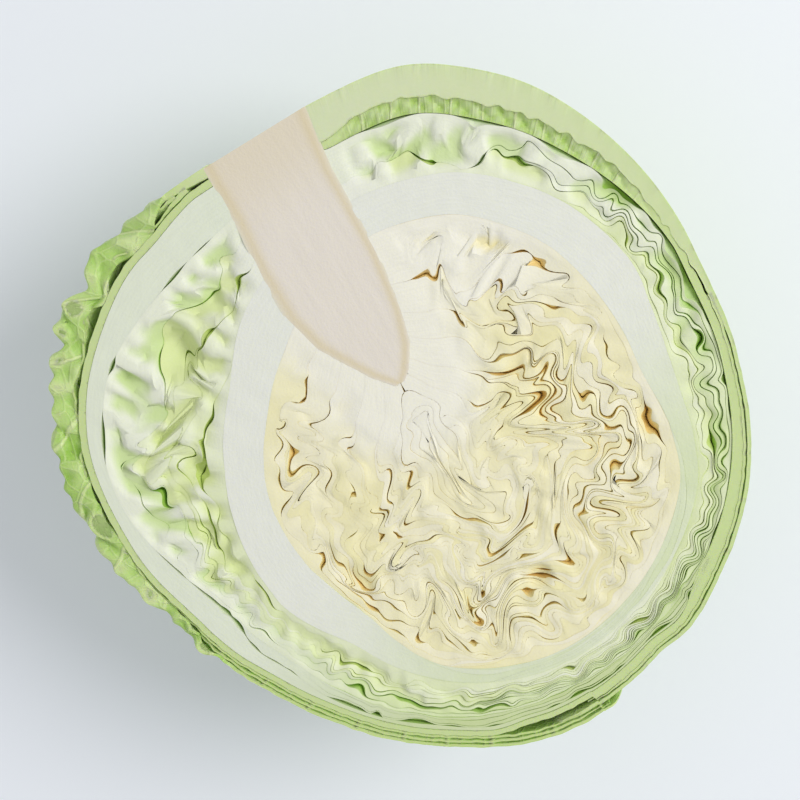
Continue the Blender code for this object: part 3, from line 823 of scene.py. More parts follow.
# Each deep colour is painted shade and bounced light on the walls deep in the gaps.
HEART_FLESH = LeafFinish(
    name="raw_heart_leaf", rib="#F1EFE0", flesh="#F0ECD5", warm="#EDE7B6", skin="#EFE5AC", deep="#F0D58A",
    wall_rib="#F0E2B8")
FOLDED_FLESH = LeafFinish(
    name="raw_folded_leaf", rib="#ECEEE0", flesh="#E8ECD6", warm="#DCE6B4", skin="#D8E4A0", deep="#CBDD82")
GREEN_FLESH = LeafFinish(
    name="raw_green_folded_leaf", rib="#E9EDD9", flesh="#E0E7C6", warm="#D4E1AC", skin="#C6DC90",
    deep="#A3CB58")
RIB_FLESH = LeafFinish(
    name="raw_rib_leaf", rib="#E8EADF", flesh="#DFE5CE", warm="#D7E1B9", skin="#D0DE9E", deep="#CBD088")
WRAPPER_FLESH = LeafFinish(
    name="raw_wrapper_leaf", rib="#E2E8D4", flesh="#D2DCB2", warm="#C6D49A", skin="#B9D47C", deep="#A8CC60")
CORE_FLESH = LeafFinish(
    name="raw_cabbage_core", rib="#E6DFD3", flesh="#DDD1B0", warm="#D8C9A0", skin="#E6DCBC", deep="#CDB67E",
    fibre=1.6, blotch=14.0)
RUFFLED_LEAF = OuterFinish(
    name="raw_ruffled_green_leaf", rib="#D6E0B2", flesh="#C9DA96", warm="#BAD27C", skin="#9CC850",
    wall_rib="#D6E5AC", roughness=0.4, vein="#D8E8A8", bloom_and_highlight="#D2E5A0", net=4.5)
OUTER_LEAF = OuterFinish(
    name="raw_outer_green_leaf", rib="#DAE2BF", flesh="#CCDC9F", warm="#C2D58C", skin="#B2D268",
    wall_rib="#D5E3AC", roughness=0.42)


@dataclass
class Fold:
    """One fold of a leaf as a row of sections from the core to its end, in millimetres and degrees."""

    slot: int                # its number in the stack
    leaf: LeafPlan
    rings: tuple[Callable, Callable]   # the outer and inner ring of its zone
    middle: float            # a typical radius
    turned: np.ndarray       # turn of each section away from the core
    angle: np.ndarray        # the same round the heart
    outer: np.ndarray        # radius of the fold's outer edge, before the flows
    inner: np.ndarray        # radius of its inner edge
    squeeze: np.ndarray      # how much the flows narrow it
    slim: np.ndarray         # 0 at the leaf's rib, 1 in its blade
    off_core: np.ndarray     # distance from the middle line of the core
    open_share: np.ndarray   # 0 where it is packed close, 1 where it stands apart
    depths: np.ndarray       # rows of its walls below the cut edge
    bottom: np.ndarray       # depth at which its walls end
    gaps: tuple[np.ndarray, ...] = ()
    pushes: tuple[np.ndarray, ...] = ()

    @property
    def thickness(self) -> np.ndarray:
        """Distance between its edges before gaps are taken off."""
        return self.outer - self.inner


@dataclass
class LeafNest:
    """All the leaves between the back leaf and the heart's middle, as one ordered stack of folds."""

    form: HeadForm
    leaves: tuple[LeafPlan, ...]
    openings: tuple[Opening, ...]
    fields: tuple[OpenField, ...]
    seed: int = 11
    row_step: float = 0.67
    skin_width: float = 0.26
    gap: float = 0.8
    least_gap: float = 0.006
    least_drop: float = 0.03
    thick_rib: float = 5.0
    fold_spacing: float = 9.0
    under_core: float = 0.3
    top_rows: tuple[float, ...] = (0.3, 0.9, 1.8, 5.0, 12.0)
    deep_rows: tuple[float, ...] = (22.0, 38.0, 60.0, 84.0)
    fold_bottom: float = 13.0
    turns: np.ndarray = field(default_factory=lambda: np.arange(0.0, 360.0, 0.5))

    def __post_init__(self) -> None:
        """Lay out the stack, then find the boundary that each opening parts."""
        self.rng = np.random.default_rng(self.seed)
        form = self.form
        self.rings = {
            Zone.WRAPPER: (form.inside_back, form.wrap_at), Zone.FILLER: (form.inside_wrapper, form.rib_at),
            Zone.RIB: (form.rib_at, form.heart_at), Zone.HEART: (form.heart_at, form.around_bud)}
        self.stack = [(leaf, fold) for leaf in self.leaves for fold in range(leaf.folds)]
        self.places = np.stack([np.stack(pair) for leaf in self.leaves for pair in self.fold_places(leaf)])
        outer, inner = [], []
        for (leaf, _), (top, below) in zip(self.stack, self.places):
            far, near = (ring_at(self.turns) for ring_at in self.rings[leaf.zone])
            outer.append(far - top * (far - near))
            inner.append(far - below * (far - near))
        self.outer, self.inner = np.stack(outer), np.stack(inner)
        zones = [leaf.zone for leaf, _ in self.stack] + [Zone.BUD]
        loose = (Zone.FILLER, Zone.HEART)
        self.partable = np.array([
            zone is after and zone in loose for zone, after in zip(zones[:-1], zones[1:])])
        self.partable[0] = True
        self.parted = self.find_openings()

    def at(self, angle: np.ndarray | float, values: np.ndarray) -> np.ndarray:
        """Read values that are held for each turn of the nest at any angle."""
        return np.interp(angle, self.turns, values, period=360)

    def shares(self, leaf: LeafPlan) -> tuple[np.ndarray, np.ndarray]:
        """Thickness and inner room of a leaf at each turn, before the zone's leaves are fitted to it."""
        turned = (leaf.side * (self.turns - self.form.stem_axis)) % 360.0
        slim = leaf.slimmed(turned)
        there = 1.0 - ease((turned - leaf.reach + 9.0) / 14.0)
        thickness = (leaf.rib + (leaf.blade - leaf.rib) * slim) * there
        return thickness, (leaf.room + (self.form.margin_room - leaf.room) * slim) * there

    def fold_places(self, leaf: LeafPlan) -> list[tuple[np.ndarray, np.ndarray]]:
        """Where each fold of a leaf lies in its zone: 0 at the zone's outer ring, 1 at its inner one.

        The leaf's room is shared among its folds by weights that wander round the head, and only the
        first fold reaches the core.

        Args:
            leaf: the leaf.

        Returns:
            The places of the outer and the inner edge of each fold, at each turn.
        """
        zone = [other for other in self.leaves if other.zone is leaf.zone]
        totals = [sum(self.shares(other)) for other in zone]
        before = sum(totals[:zone.index(leaf)], np.zeros_like(self.turns))
        turned = (leaf.side * (self.turns - self.form.stem_axis)) % 360.0
        weights = []
        for fold in range(leaf.folds):
            late = ease((turned - leaf.split - self.fold_spacing * fold) / 26.0)
            grown = late if fold else np.ones_like(turned)
            weights.append(grown * (1.0 + 0.75 * wander(self.rng, 34.0, self.turns)) + 1e-4)
        weights = np.stack(weights) / sum(weights)
        ends = np.vstack([np.zeros_like(self.turns), np.cumsum(weights, axis=0)])
        places = (before + ends * totals[zone.index(leaf)]) / (sum(totals) + 1e-6)
        return list(zip(places[:-1], places[1:]))

    def find_openings(self) -> list[tuple[int, Opening]]:
        """Turn each opening back to where it lies before the flows, and pick the boundary it parts.

        Returns:
            Pairs of the number of the fold outside the boundary and the opening turned back. None lies
            on a ring between two zones, except inside the wrapper, and none lies by the core.
        """
        form = self.form
        angle, radius = np.meshgrid(np.arange(0.0, 360.0, 1.0), np.arange(2.0, 100.0, 0.8))
        spots = form.settle(angle, radius, 0.0 * angle)[..., :2] - form.heart
        found = []
        for one in self.openings:
            bearing = math.radians(one.angle)
            target = one.radius * np.array([math.cos(bearing), math.sin(bearing)])
            near = np.argmin(((spots - target) ** 2).sum(axis=-1))
            turn, reach = angle.ravel()[near], radius.ravel()[near]
            edges = self.inner[:, int(round(turn * 2)) % len(self.turns)]
            rings = np.stack([form.heart_at(turn), form.rib_at(turn), form.inside_wrapper(turn)])
            closed = ~self.partable | (np.abs(edges[:, None] - rings).min(axis=1) < 1.2)
            closed[0] = False
            boundary = int(np.argmin(np.abs(edges - reach) + 99.0 * closed))
            if form.from_stem(target[0], target[1], 2.0) > 21.0:
                found.append((boundary, Opening(turn, reach, one.half_length, one.width, one.depth)))
        return found

    def parting(self, slot: int, angle: np.ndarray, radius: np.ndarray, depth: np.ndarray) -> np.ndarray:
        """How far the openings push one fold outwards.

        Each opening moves the folds outside it out and those inside it in, by half its width times
        (1 - (along / half length) ^ 2) ^ 2, times exp(-distance / spread), and less the deeper it is.

        Args:
            slot: the fold's number in the stack.
            angle: its sections, in degrees.
            radius: an edge of it at each section, in millimetres.
            depth: depths below the cut, in millimetres.

        Returns:
            The push in millimetres, with a row for each section and a column for each depth.
        """
        inside = self.form.inside_back
        push = np.zeros((len(angle), len(depth)))
        rim = ease((inside(angle) - radius) / 8.0) * ease(radius / 12.0)
        for boundary, one in self.parted:
            along = ((angle - one.angle + 180.0) % 360.0 - 180.0) * math.pi / 180.0 * one.radius
            rows = np.abs(along) < one.half_length
            if not rows.any():
                continue
            edge = self.at(angle[rows], self.inner[boundary])
            spread = max(1.3 * one.width, 2.4)
            bump = (1.0 - (along[rows] / one.half_length) ** 2) ** 2
            bump = bump * np.exp(-np.abs(radius[rows] - edge) / spread)
            at_rim = ease((inside(angle[rows]) - edge) / 8.0)
            bump = bump * (0.5 * rim[rows] if slot <= boundary else 0.5 * at_rim - 1.0)
            push[rows] += one.width * bump[:, None] * (1.0 - ease(depth / one.depth))
        return push

    def lay_rows(self, slot: int, deep: bool) -> Fold:
        """Lay the sections of one fold at even steps along its edge as the flows leave it.

        Args:
            slot: its number in the stack.
            deep: whether it goes down to the back of the head.

        Returns:
            The fold, still without gaps and pushes.
        """
        form, (leaf, number) = self.form, self.stack[slot]
        halfway = 0.5 * (self.outer[slot] + self.inner[slot])
        start = 0.08 if number == 0 else leaf.split - 2.0 + self.fold_spacing * number
        middle = self.at(leaf.side * 90.0 + form.stem_axis, halfway)
        step = math.degrees(self.row_step / max(middle, 8.0))
        turned = np.arange(start, leaf.reach + 5.0, 0.5 * step)
        angle = form.stem_axis + leaf.side * turned
        seen = form.settle(angle, self.at(angle, halfway), 0.0 * angle)[:, :2]
        stretch = np.hypot(*np.diff(seen, axis=0).T) / (0.5 * self.row_step)
        length = np.concatenate([[0.0], np.cumsum(np.clip(0.25 + 0.75 * stretch, 0.6, 2.5))])
        even = np.arange(0.0, length[-1], 2.0)
        turned = np.interp(even, length, turned)
        squeeze = np.interp(even, length[1:], 1.0 / np.maximum(stretch, 1.0))
        angle = form.stem_axis + leaf.side * turned
        outer, inner = self.at(angle, self.outer[slot]), self.at(angle, self.inner[slot])
        seen = form.settle(angle, 0.5 * (outer + inner), 0.0 * angle)[:, :2] - form.heart
        seen_angle, reach = np.degrees(np.arctan2(seen[:, 1], seen[:, 0])), np.hypot(seen[:, 0], seen[:, 1])
        limit = 0.5 * (outer + inner) / form.outline_at(angle) * form.dome_depth
        deepest = limit * math.sin(math.radians(form.rest_spot_angle))
        return Fold(
            slot, leaf, self.rings[leaf.zone], middle, turned, angle, outer, inner, squeeze,
            slim=leaf.slimmed(turned) if leaf.rib > self.thick_rib else ease(turned / 40.0),
            off_core=form.from_stem(seen[:, 0], seen[:, 1], 2.0),
            open_share=np.clip(sum(one.at(seen_angle, reach) for one in self.fields), 0.0, 1.0),
            depths=np.array(self.top_rows + self.deep_rows if deep else self.top_rows),
            bottom=deepest if deep else np.minimum(self.fold_bottom, 0.8 * limit))

    def part_fold(self, fold: Fold) -> None:
        """Set the gaps at both edges of a fold and how far the openings push each of its walls.

        Gaps close where two zones meet, so that they don't double there. The walls of a fold that an
        opening would squeeze to under a quarter of its thickness are pushed apart again.

        Args:
            fold: the fold, which takes the gaps and the pushes.
        """
        knots = 2.0 * math.pi * fold.middle
        uneven = 0.2 + 0.8 * (0.5 + 0.5 * wander(self.rng, knots / 4.0, fold.angle)) ** 2
        gap = ease((fold.off_core - 12.0) / 12.0) * self.gap * fold.open_share * uneven
        gap = np.minimum(gap * ease(fold.turned / 30.0) + self.least_gap, 0.45 * fold.thickness)
        far, near = (ring_at(fold.angle) for ring_at in fold.rings)
        edges = (fold.outer, fold.inner)
        fold.gaps = tuple(
            gap * (0.12 + 0.88 * ease(np.minimum(far - edge, edge - near) / 1.6)) for edge in edges)
        depths = np.concatenate([[0.0], fold.depths])
        outer, inner = (self.parting(fold.slot, fold.angle, edge, depths) for edge in edges)
        short = np.minimum(outer - inner + 0.75 * fold.thickness[:, None], 0.0)
        fold.pushes = (outer - 0.5 * short, inner + 0.5 * short)

    def wall(self, fold: Fold, part: np.ndarray | float, offset: np.ndarray, below: np.ndarray) -> np.ndarray:
        """Points of a wall of a fold, or of one line along its cut edge.

        Args:
            fold: the fold.
            part: where the wall stands: 0 at the outer edge and 1 at the inner one.
            offset: how far it is moved outwards to leave a gap, in millimetres. The gap closes within a
                millimetre of the cut.
            below: depths under the cut, with a row for each section.

        Returns:
            The points, a row for each section and a column for each depth.
        """
        form, angle = self.form, fold.angle[:, None]
        edge = fold.outer + (fold.inner - fold.outer) * part
        level = form.level_at(angle, edge[:, None], below)
        far, near = (form.zone_radius(ring_at, angle, level) for ring_at in fold.rings)
        top_far, top_near = (ring_at(fold.angle) for ring_at in fold.rings)
        share = (top_far - edge) / (top_far - top_near)
        push = fold.pushes[0] + (fold.pushes[1] - fold.pushes[0]) * np.reshape(part, (-1, 1))
        close = 1.0 - ease(np.concatenate([[0.0], fold.depths]) / 1.0)
        if below.shape[1] != len(close):
            push, close = push[:, :1], close[:1]
        radius = far - share[:, None] * (far - near) + offset[:, None] * (0.1 + 0.9 * close) + push
        return form.sunk(form.settle(angle, np.maximum(radius, 0.3), level))

    def lowered(self, fold: Fold, part: np.ndarray | float, offset: np.ndarray,
                drop: np.ndarray) -> np.ndarray:
        """Depth of the top of a wall, under the core where the core lies over it.

        Args:
            fold: the fold.
            part: where the wall stands: 0 at the outer edge and 1 at the inner one.
            offset: how far it is moved outwards, in millimetres.
            drop: depth of its top elsewhere.

        Returns:
            The depth at each section.
        """
        form, down = self.form, np.maximum(drop, self.least_drop)
        drop, near = down.copy(), fold.turned < 50.0
        angle, edge = fold.angle[near], (fold.outer + (fold.inner - fold.outer) * part)[near]
        for _ in range(3):
            level = form.level_at(angle, edge, down[near])
            spot = form.dome(angle, level, edge + offset[near])
            down[near] = np.maximum(drop[near], form.under_core(spot, self.under_core))
        return down

    def fold_grid(self, slot: int, relief: float, deep: bool, cap: int) -> tuple:
        """Section by section grid of one fold: down its outer wall, over its cut edge and back.

        Args:
            slot: its number in the stack.
            relief: how far below the cut its edge may lie, in millimetres.
            deep: whether it goes down to the back of the head.
            cap: the number of points across its cut edge, an even number.

        Returns:
            The grid of points, and its looks and places on the leaf.
        """
        fold = self.lay_rows(slot, deep)
        self.part_fold(fold)
        calm = ease((fold.off_core - 12.0) / 12.0)
        knots = 2.0 * math.pi * fold.middle
        low = relief * (0.06 + 0.94 * fold.slim * calm) * (0.14 + 0.86 * fold.open_share)
        low = low * ease(fold.thickness * fold.squeeze / 0.9)
        top = low * (0.5 + 0.5 * wander(self.rng, knots / 11.0, fold.angle))
        lean = 0.35 * low * wander(self.rng, knots / 9.0, fold.angle)
        near_core = 1.0 - ease((fold.off_core - 15.0) / 16.0)
        rib = np.maximum(1.0 - fold.slim, near_core) if fold.leaf.rib > self.thick_rib else near_core
        warm = 0.5 + 0.5 * wander(self.rng, knots / 22.0, fold.angle)
        line = ease(0.35 + 0.75 * wander(self.rng, knots / 8.0, fold.angle) + 0.5 * fold.open_share)
        line = line * (0.75 + 0.25 * fold.open_share)

        rim_depth, rim_width = 0.014 + 0.05 * fold.open_share, 0.012 + 0.03 * fold.open_share
        width = np.maximum(fold.thickness - 0.5 * (fold.gaps[0] + fold.gaps[1]), 0.12)
        rim_width = rim_width * ease(width / 0.6)
        skin = np.minimum(self.skin_width, 0.28 * width)
        flesh = [skin + (width - 2.0 * skin) * part / (cap - 3.0) for part in range(cap - 2)]
        across = [rim_width, *flesh, width - rim_width]
        along = fold.turned * math.pi / 180.0 * fold.middle
        edge_looks = {0: 0.75, 1: 0.1, cap - 2: 0.1, cap - 1: 0.75}

        walls = []
        for part, offset in ((0.0, -0.5 * fold.gaps[0]), (1.0, 0.5 * fold.gaps[1])):
            head = self.lowered(fold, part, offset, top + lean * (1.0 - 2.0 * part) + rim_depth)
            end = np.maximum(fold.bottom, head + 1.0)
            below = np.minimum(head[:, None] + fold.depths * (1.0 - head / end)[:, None], end[:, None])
            below = np.concatenate([head[:, None], below], axis=1)
            look = stacked(1.0 + 0.0 * below, rib[:, None], warm[:, None])
            place = stacked(along[:, None], slot * 7.0 + part * width[:, None], below)
            order = slice(None, None, 1 if part else -1)
            walls.append([self.wall(fold, part, offset, below)[:, order], look[:, order], place[:, order]])
        lines = []
        for number, inset in enumerate(across):
            part = inset / np.maximum(width, 0.01)
            rim = 0.4 * rim_depth if number in (0, cap - 1) else 0.0
            offset = 0.5 * (fold.gaps[1] * part - fold.gaps[0] * (1.0 - part))
            head = self.lowered(fold, part, offset, top + lean * (1.0 - 2.0 * part) + rim)
            lines.append([
                self.wall(fold, part, offset, head[:, None]),
                np.stack([edge_looks.get(number, 0.0) * line, rib, warm], axis=-1)[:, None],
                np.stack([along, slot * 7.0 + inset, head], axis=-1)[:, None]])
        return tuple(np.concatenate(parts, axis=1) for parts in zip(walls[0], *lines, walls[1]))

    def build(self, leaf: LeafPlan, relief: float, cap: int, finish: bpy.types.Material) -> bpy.types.Object:
        """Build one leaf, all its folds in one mesh, and dress it.

        Args:
            leaf: which leaf.
            relief: how uneven its cut edges are, in millimetres.
            cap: points across the cut edge of its first fold. The others have four.
            finish: its material.

        Returns:
            The piece.
        """
        folds = [self.fold_grid(slot, relief, number == 0, cap if number == 0 else 4)
                 for slot, (owner, number) in enumerate(self.stack) if owner is leaf]
        return dressed(leaf.name, folds, finish)


LEAVES = tuple(LeafPlan(*row) for row in (
    ("wrapper_left", Zone.WRAPPER, 1, 215.0, 7.5, 1.1, (95.0, 150.0), 0.6, 4, 82.0),
    ("fold_left_1", Zone.FILLER, 1, 222.0, 6.0, 0.9, (80.0, 140.0), 1.3, 3, 40.0),
    ("fold_right_1", Zone.FILLER, -1, 205.0, 6.0, 0.9, (50.0, 115.0), 1.1, 4, 26.0),
    ("fold_left_2", Zone.FILLER, 1, 206.0, 5.0, 0.9, (70.0, 130.0), 1.5, 3),
    ("fold_right_2", Zone.FILLER, -1, 192.0, 2.6, 0.9, (50.0, 110.0), 0.9, 3, 40.0),
    ("fold_left_3", Zone.FILLER, 1, 214.0, 4.5, 0.9, (85.0, 135.0), 1.2, 2),
    ("rib_leaf_right", Zone.RIB, -1, 198.0, 11.0, 1.2, (66.0, 128.0), 0.6, 3, 98.0),
    ("rib_leaf_left", Zone.RIB, 1, 208.0, 11.0, 1.1, (98.0, 150.0), 0.6, 3, 128.0),
    ("heart_right_1", Zone.HEART, -1, 210.0, 6.0, 1.3, (42.0, 80.0), 2.2, 3),
    ("heart_left_1", Zone.HEART, 1, 225.0, 2.4, 1.3, (50.0, 120.0), 1.3, 4),
    ("heart_right_2", Zone.HEART, -1, 225.0, 3.0, 1.3, (40.0, 110.0), 1.6, 4),
    ("heart_left_2", Zone.HEART, 1, 210.0, 2.6, 1.3, (50.0, 120.0), 1.3, 4),
    ("heart_right_3", Zone.HEART, -1, 225.0, 2.6, 1.3, (40.0, 110.0), 1.3, 4),
    ("heart_left_3", Zone.HEART, 1, 225.0, 2.4, 1.3, (50.0, 110.0), 1.3, 4),
    ("heart_right_4", Zone.HEART, -1, 210.0, 2.6, 1.3, (40.0, 100.0), 1.3, 4),
    ("heart_left_4", Zone.HEART, 1, 225.0, 2.2, 1.3, (40.0, 100.0), 1.3, 4),
    ("heart_right_5", Zone.HEART, -1, 210.0, 2.4, 1.3, (40.0, 100.0), 1.3, 4),
    ("heart_left_5", Zone.HEART, 1, 210.0, 2.2, 1.3, (40.0, 100.0), 1.3, 4),
    ("heart_right_6", Zone.HEART, -1, 195.0, 2.2, 1.3, (40.0, 100.0), 1.3, 4)))

# Openings that stand out in the cut face, each as angle, radius, half length, width and depth
MAIN_OPENINGS = tuple(Opening(*row) for row in (
    (165.0, 88.0, 3.0, 1.2, 2.5), (176.0, 92.0, 8.0, 1.2, 2.5), (187.0, 78.0, 5.0, 1.8, 3.0),
    (180.0, 69.0, 4.0, 1.5, 2.6), (179.0, 61.5, 4.0, 1.2, 2.4), (195.5, 66.5, 4.0, 1.6, 2.6),
    (140.0, 71.0, 7.0, 1.4, 2.6), (210.0, 74.0, 9.0, 1.0, 2.0), (101.0, 91.0, 9.0, 0.9, 1.6),
    (86.0, 91.5, 8.0, 1.0, 1.8), (72.0, 89.5, 9.0, 1.2, 2.0), (60.0, 85.5, 9.0, 1.7, 2.4),
    (48.0, 81.5, 10.0, 1.5, 2.2), (43.0, 71.0, 5.0, 1.5, 2.4), (30.0, 71.0, 4.0, 1.5, 2.8),
    (96.0, 80.0, 4.0, 1.3, 2.2), (87.0, 81.0, 4.0, 1.3, 2.2), (103.0, 60.0, 2.0, 0.9, 1.8),
    (61.0, 30.0, 3.0, 1.6, 2.6), (40.0, 28.5, 5.0, 2.2, 3.2), (30.0, 38.0, 3.0, 1.5, 2.4),
    (17.0, 41.0, 4.0, 1.3, 2.2), (16.0, 51.5, 8.0, 1.7, 2.8), (358.0, 44.5, 4.0, 1.2, 2.2),
    (309.0, 36.0, 4.0, 1.9, 2.8), (322.0, 38.0, 4.0, 1.5, 2.4), (220.0, 40.0, 5.0, 0.9, 3.0),
    (232.0, 36.0, 4.0, 0.9, 3.0), (262.0, 65.0, 7.0, 1.1, 2.0), (280.0, 64.0, 5.0, 0.9, 1.8),
    (247.0, 64.0, 4.0, 1.2, 2.2)))

# Where the folds stand apart in the cut face, each as angle, radius, half angle, half radius and
# strength. Elsewhere they are packed close
OPEN_FIELDS = tuple(OpenField(*row) for row in (
    (56.0, 33.0, 16.0, 8.0, 0.7), (35.0, 30.0, 14.0, 8.0, 0.8), (12.0, 40.0, 15.0, 9.0, 0.65),
    (350.0, 38.0, 14.0, 8.0, 0.5), (235.0, 41.0, 15.0, 5.0, 0.7), (285.0, 36.0, 14.0, 7.0, 0.35),
    (95.0, 59.0, 12.0, 4.0, 0.7), (75.0, 45.0, 9.0, 8.0, 0.5), (146.0, 78.0, 7.0, 7.0, 0.6),
    (196.0, 67.0, 6.0, 5.0, 0.8), (180.0, 68.0, 5.0, 5.0, 0.5), (55.0, 80.0, 12.0, 6.0, 1.0),
    (35.0, 73.0, 13.0, 6.0, 1.0), (15.0, 68.0, 13.0, 5.0, 0.8), (350.0, 66.0, 14.0, 4.0, 0.6),
    (75.0, 84.0, 9.0, 3.5, 0.8), (100.0, 88.0, 12.0, 3.0, 0.7), (222.0, 72.0, 8.0, 3.0, 0.7),
    (248.0, 64.0, 9.0, 4.0, 0.7), (275.0, 63.0, 14.0, 4.0, 0.6), (305.0, 66.0, 16.0, 5.0, 0.5),
    (330.0, 66.0, 14.0, 5.0, 0.5)))


def small_openings(seed: int, count: int, radii: tuple[float, float], widths: tuple[float, float],
                   lengths: tuple[float, float]) -> tuple[Opening, ...]:
    """Seeded small openings scattered evenly over a ring of the cut face.

    Args:
        seed: of the draws.
        count: how many there are.
        radii: inner and outer radius of the ring, in millimetres.
        widths: least and greatest width, in millimetres. Narrow ones are the more common.
        lengths: least and greatest half length, in millimetres.

    Returns:
        The openings. Each is 1.1 mm deeper than it is wide.
    """
    rng = np.random.default_rng(seed)
    angle = rng.uniform(0.0, 360.0, count)
    radius = np.sqrt(rng.uniform(radii[0] ** 2, radii[1] ** 2, count))
    width = widths[0] + (widths[1] - widths[0]) * rng.uniform(0.0, 1.0, count) ** 2
    length = rng.uniform(*lengths, count)
    return tuple(Opening(*row) for row in zip(angle, radius, length, width, 1.1 + width))


@dataclass
class HeartBud:
    """The dense bud in the middle: a few tiny leaves round a solid growing point."""

    form: HeadForm
    bands: int = 4
    step: float = 3.0
    gap: float = 0.02
    overlap: float = 0.44
    depths: tuple[float, ...] = (6.0, 2.5, 1.0, 0.12)

    def band(self, far: float, near: float,
             rng: np.random.Generator) -> tuple[np.ndarray, np.ndarray, np.ndarray]:
        """One leaf of the bud, a ring between two shares of the bud's own ring with a cut edge on top.

        Args:
            far: share of its outside.
            near: share of its inside.
            rng: the source of its unevenness.

        Returns:
            Its grid, looks and places.
        """
        form = self.form
        angle = np.arange(0.0, 360.0, self.step)
        full = form.bud_ring(angle)
        top = 0.2 * (0.5 + 0.5 * wander(rng, 9.0, angle))
        outer = full * far - self.gap + (self.overlap if far == 1.0 else 0.0)
        inner = np.maximum(full * near + self.gap, 0.25)
        wall = [(top + depth * far, 1.0) for depth in self.depths]
        rows = [(outer, *row) for row in wall]
        rows += [(outer - 0.03, top, 0.3), (outer - 0.3, top - 0.02, 0.05), (inner + 0.3, top - 0.02, 0.05),
                 (inner + 0.03, top, 0.3)]
        rows += [(inner, *row) for row in reversed(wall)]
        radius, depth = (np.stack([row[kind] for row in rows], axis=1) for kind in (0, 1))
        level = form.level_at(angle[:, None], np.maximum(radius, 1.0), depth)
        grid = form.sunk(form.settle(angle[:, None], radius, level))
        off_core = form.from_stem(grid[..., 0] - form.heart[0], grid[..., 1] - form.heart[1], 2.0)
        pale = 1.0 - ease((off_core - 15.0) / 16.0)
        look = stacked(np.array([skin for _, _, skin in rows])[None, :], pale, 0.5)
        return grid, look, stacked(angle[:, None] * 0.2, 900.0 + np.arange(len(rows))[None, :], 0.0)

    def build(self, finish: bpy.types.Material) -> bpy.types.Object:
        """Build the bud as nested closed bands and dress it."""
        rng = np.random.default_rng(5)
        cuts = np.linspace(1.0, 0.0, self.bands + 1)
        bands = [self.band(far, near, rng) for far, near in zip(cuts[:-1], cuts[1:])]
        return dressed("heart_bud", bands, finish, all_round=True)


@dataclass
class StemCore:
    """The core: a solid tapering stem, half of it left below the cut."""

    form: HeadForm
    rows: int = 150
    columns: int = 64
    least_width: float = 0.4
    rind: float = 1.6

    def build(self, finish: bpy.types.Material) -> bpy.types.Object:
        """Build the core from half ovals along its axis, with a rounded edge to the cut face.

        The look's rib is lowest along a line 1.6 mm inside the edge, where the rind shows, and falls a
        little towards the cut end.
        """
        form, axis = self.form, self.form.core_axis
        across = np.array([axis[1], -axis[0]])
        along = form.stem_length * (np.linspace(0.0, 1.0, self.rows) ** 0.9)
        uneven = 0.05 * wander(np.random.default_rng(21), 60.0, along * 5.0)
        left, right = form.core_widths(along)
        left = np.maximum(left + uneven, self.least_width)
        right = np.maximum(right + 0.6 * uneven[::-1], self.least_width)
        spread = np.linspace(0.0, math.pi, self.columns // 2)
        flat = np.linspace(-1.0, 1.0, self.columns // 2 + 2)[1:-1]
        wide = np.where(np.cos(spread) > 0.0, left[:, None], right[:, None])
        even = np.where(flat < 0, right[:, None], left[:, None])
        side = np.concatenate([wide * np.cos(spread), even * flat], axis=1)
        deep = 0.5 * (left + right)
        rounded = 0.0 * left[:, None] + 0.01 * flat ** 12
        down = np.concatenate([deep[:, None] * np.sin(spread) + 0.08, rounded], axis=1)
        middle = np.array(form.heart) + form.core_base + along[:, None] * axis
        spot = middle[:, None, :] + side[..., None] * across
        grid = np.concatenate([spot, form.cut_height - down[..., None]], axis=-1)
        edge = np.concatenate([np.ones(len(spread)), np.clip((np.abs(flat) - 0.9) / 0.1, 0.0, 1.0) * 0.8])
        inset = np.concatenate([0.0 * deep[:, None] * spread, (1.0 - np.abs(flat)) * deep[:, None]], axis=1)
        plain = 1.0 - 0.7 * np.exp(-((inset - self.rind) / 1.3) ** 2)
        plain = plain * (1.0 - 0.4 * ease((26.0 - along) / 24.0))[:, None]
        look = stacked(0.5 * edge[None, :], plain, 0.6)
        return dressed("stem_core", [(grid, look, stacked(along[:, None], side, 0.0))], finish)


@dataclass(frozen=True)
class Frill:
    """One sheet of an outermost leaf, inside the room between the outline and the back leaf.

    place is where its middle lies: 0 at the outline and 1 at the back leaf. wave is the share of the
    room that its ruffles take, and lengths are those of its ruffles in millimetres. dip is how far its
    edge may lie below the cut, and fill is the share of the room by which it thickens inwards below its
    edge. flap is how much of the room its top covers where it folds over inwards, crumple is the height
    of the creases there, and sunken is how far its edge lies below the cut under such a fold. A sheet
    with no bottom goes down to the margin.
    """

    place: float
    wave: float
    lengths: tuple[float, float, float]
    blade: float
    dip: float
    turns: tuple[float, float]
    fill: float = 0.0
    flap: float = 0.0
    crumple: float = 0.0
    sunken: float = 0.0
    bottom: float | None = None

    def width(self, turned: np.ndarray) -> np.ndarray:
        """Share of its thickness at a turn: it thins out towards its ends, but not by the core."""
        thin = 0.25 + 0.75 * ease((self.turns[1] - turned) / 12.0)
        if self.turns[0] > 1.0:
            thin = thin * (0.25 + 0.75 * ease((turned - self.turns[0]) / 10.0))
        return thin


